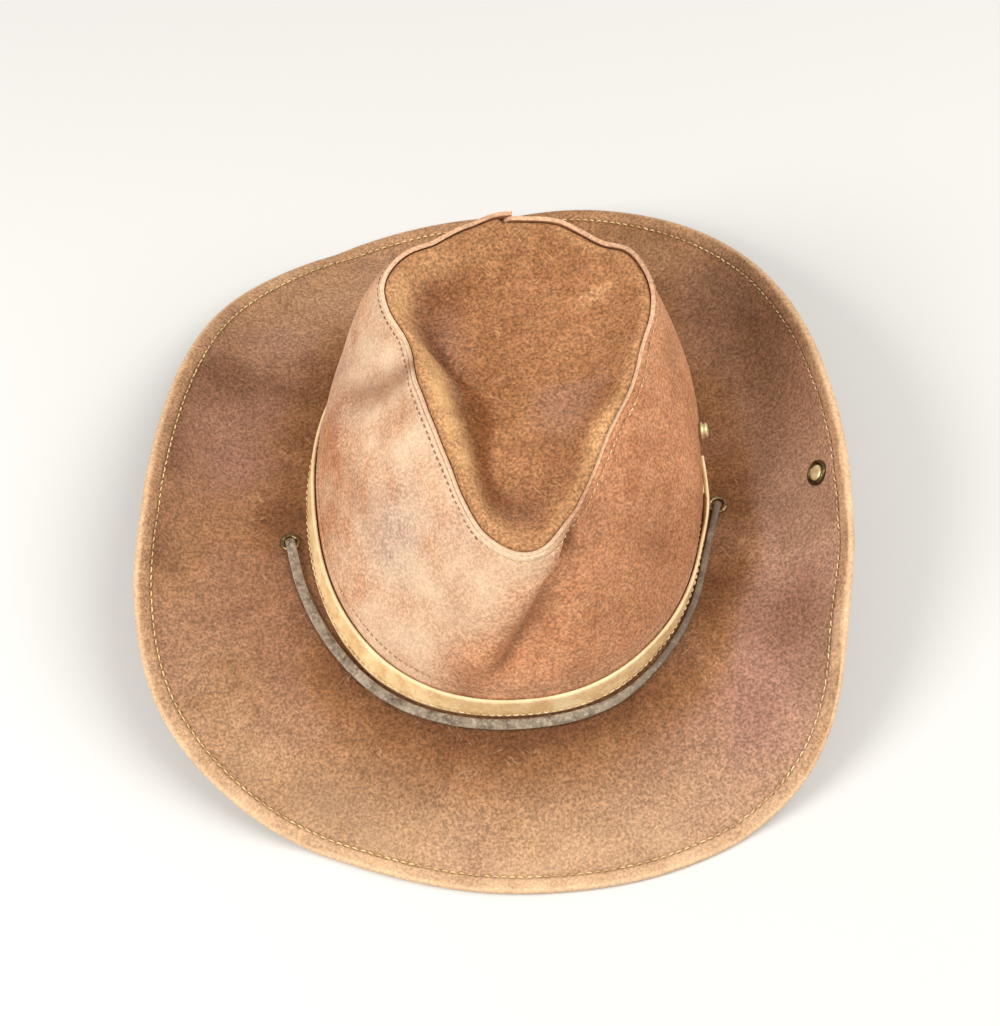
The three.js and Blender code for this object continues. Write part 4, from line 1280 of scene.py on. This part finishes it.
def make_band():
    deg = np.linspace(BAND_INNER_END, BAND_OUTER_END + TURN, BAND_AROUND)
    overlap = BAND_INNER_END + TURN
    bottom, top, face = band_frame(deg, smooth(overlap - BAND_EASE, overlap - 1, deg))
    up = unit(top - bottom)
    rise = np.array(BAND_ROWS)
    edge = np.minimum(rise, BAND_HEIGHT - rise)
    inset = 0.22 * smooth(0.9, 0, edge)
    groove = 0.2 * bell(rise, BAND_SEAM, 0.45) - 0.06 * bell(rise, 1.4, 0.8)
    frame_at = lambda part: bottom[:, None] + up[:, None] * rise[:, None] + face[:, None] * part[:, None]
    inner, outer = frame_at(inset), frame_at(1 - inset - groove / BAND_THICKNESS)
    outer = outer + face[:, None] / BAND_THICKNESS * (0.12 * noise(outer, 9, 51))[..., None]
    points = np.concatenate([inner, outer[:, ::-1]], 1)
    wear = noise(points, 8, 52)
    both = np.concatenate([edge, edge[::-1]])
    zones = {
        "pale": np.clip(0.5 * smooth(1.2, 0.2, both)[None] + 0.3 * smooth(0, 0.7, wear), 0, 0.8),
        "dark": np.clip(0.3 * smooth(0.1, 0.8, -wear), 0, 0.8),
    }
    faces = strip_faces(points)
    finish_mesh("hat_band_leather", points, faces, BAND_LEATHER, "hat_band", zones)
    line = bottom + up * BAND_SEAM + face * 0.92
    sew("band_stitches", line, face, "pale_leather", CREAM_THREAD, 9, length=2.8, pitch=3.4, radius=0.38)


make_band()


# Metal

def make_eyelet(side, place):
    half = LEATHER / 2 + GAP + EYELET_PLAY
    outer = half + FLANGE_THICKNESS
    upper = [
        (BARREL_RADIUS, half), (FLANGE_RADIUS, half), (FLANGE_RADIUS - 0.5, outer),
        (HOLE_RADIUS + 0.5, outer), (HOLE_RADIUS, outer - 0.3),
    ]
    profile = [(radius, -height) for radius, height in upper[::-1]] + upper
    node = "eyelet_" + side
    lathe(node + "_metal", profile, *brim_spot(place), "aged_brass", OLD_BRASS, node)


def make_snap():
    spot = brim_spot(SOCKET)
    half = LEATHER / 2 + GAP
    top = half + SOCKET_LIFT
    ring = SOCKET_RADIUS - 0.5
    profile = [
        (0, -half - 1.6), (SOCKET_RADIUS * 0.6, -half - 1.3), (SOCKET_RADIUS, -half),
        (SOCKET_POST, -half), (SOCKET_POST, top), (ring, top), (ring, top + 0.9), (ring - 0.6, top + 1.6),
        (ring - 1.4, top + 1.6), (ring - 1.9, top + 0.5), (0, top + 0.5),
    ]
    lathe("snap_socket_metal", profile, *spot, "aged_brass", DARK_BRASS, "snap_socket")
    inner = ring - 2.3
    cup = [(0, top + 0.3), (inner, top + 0.3), (inner - 0.1, top + 1.1)]
    cup += [(inner - 1.1, top + 1.6), (0, top + 1.8)]
    lathe("snap_socket_cup", cup, *spot, "pale_brass", PALE_BRASS)
    out = wall_out(STUD["deg"], STUD["up"])
    place = wall_outer(STUD["deg"], STUD["up"]) - out * LEATHER / 2
    top = half + STUD_LIFT
    neck, lip = STUD_RADIUS - 0.8, STUD_RADIUS + 0.3
    profile = [
        (0, -half - 1.8), (STUD_RADIUS * 0.7, -half - 1.6), (STUD_RADIUS + 0.6, -half - STUD_LIFT),
        (STUD_POST, -half - STUD_LIFT), (STUD_POST, top), (lip, top), (lip, top + 0.7), (neck, top + 0.9),
        (neck, top + 1.5), (STUD_RADIUS - 0.2, top + 2.3), (neck, top + 3.1), (0, top + 3.4),
    ]
    lathe("snap_stud_metal", profile, place, out, "pale_brass", PALE_BRASS, "snap_stud")


make_eyelet("left", EYELET_LEFT)
make_eyelet("right", EYELET_RIGHT)
make_snap()


# Floor and light: each light has a place, a size and a power

FLOOR_REACH = 20000
FLOOR_COLOUR = (0.62, 0.615, 0.6, 1.0)
LIGHT_COLOUR = (1.0, 0.98, 0.95)
WORLD_STRENGTH = 0.5


def make_floor():
    mesh = bpy.data.meshes.new("floor")
    reach = FLOOR_REACH * MM
    corners = [(-reach, -reach, 0), (reach, -reach, 0), (reach, reach, 0), (-reach, reach, 0)]
    mesh.from_pydata(corners, [], [(0, 1, 2, 3)])
    floor = bpy.data.objects.new("floor", mesh)
    bpy.context.scene.collection.objects.link(floor)
    mesh.materials.append(Shader("floor").finish(Base_Color=FLOOR_COLOUR, Roughness=0.7))


def make_light(name, place, size, power):
    data = bpy.data.lights.new(name, "AREA")
    data.shape = "DISK"
    data.size = size * MM
    data.energy = power
    data.color = LIGHT_COLOUR
    light = bpy.data.objects.new(name, data)
    bpy.context.scene.collection.objects.link(light)
    light.location = Vector(place) * MM
    light.rotation_euler = (Vector(place) - AIM).to_track_quat("Z", "Y").to_euler()


make_floor()
make_light("key", (-950, -380, 950), 700, 16)
make_light("fill", (950, -150, 1300), 1500, 24)
world = bpy.data.worlds.new("world")
bpy.context.scene.world = world
world.use_nodes = True
backdrop = world.node_tree.nodes["Background"].inputs
backdrop["Color"].default_value = (*LIGHT_COLOUR, 1.0)
backdrop["Strength"].default_value = WORLD_STRENGTH
bpy.context.scene.view_settings.view_transform = "Standard"
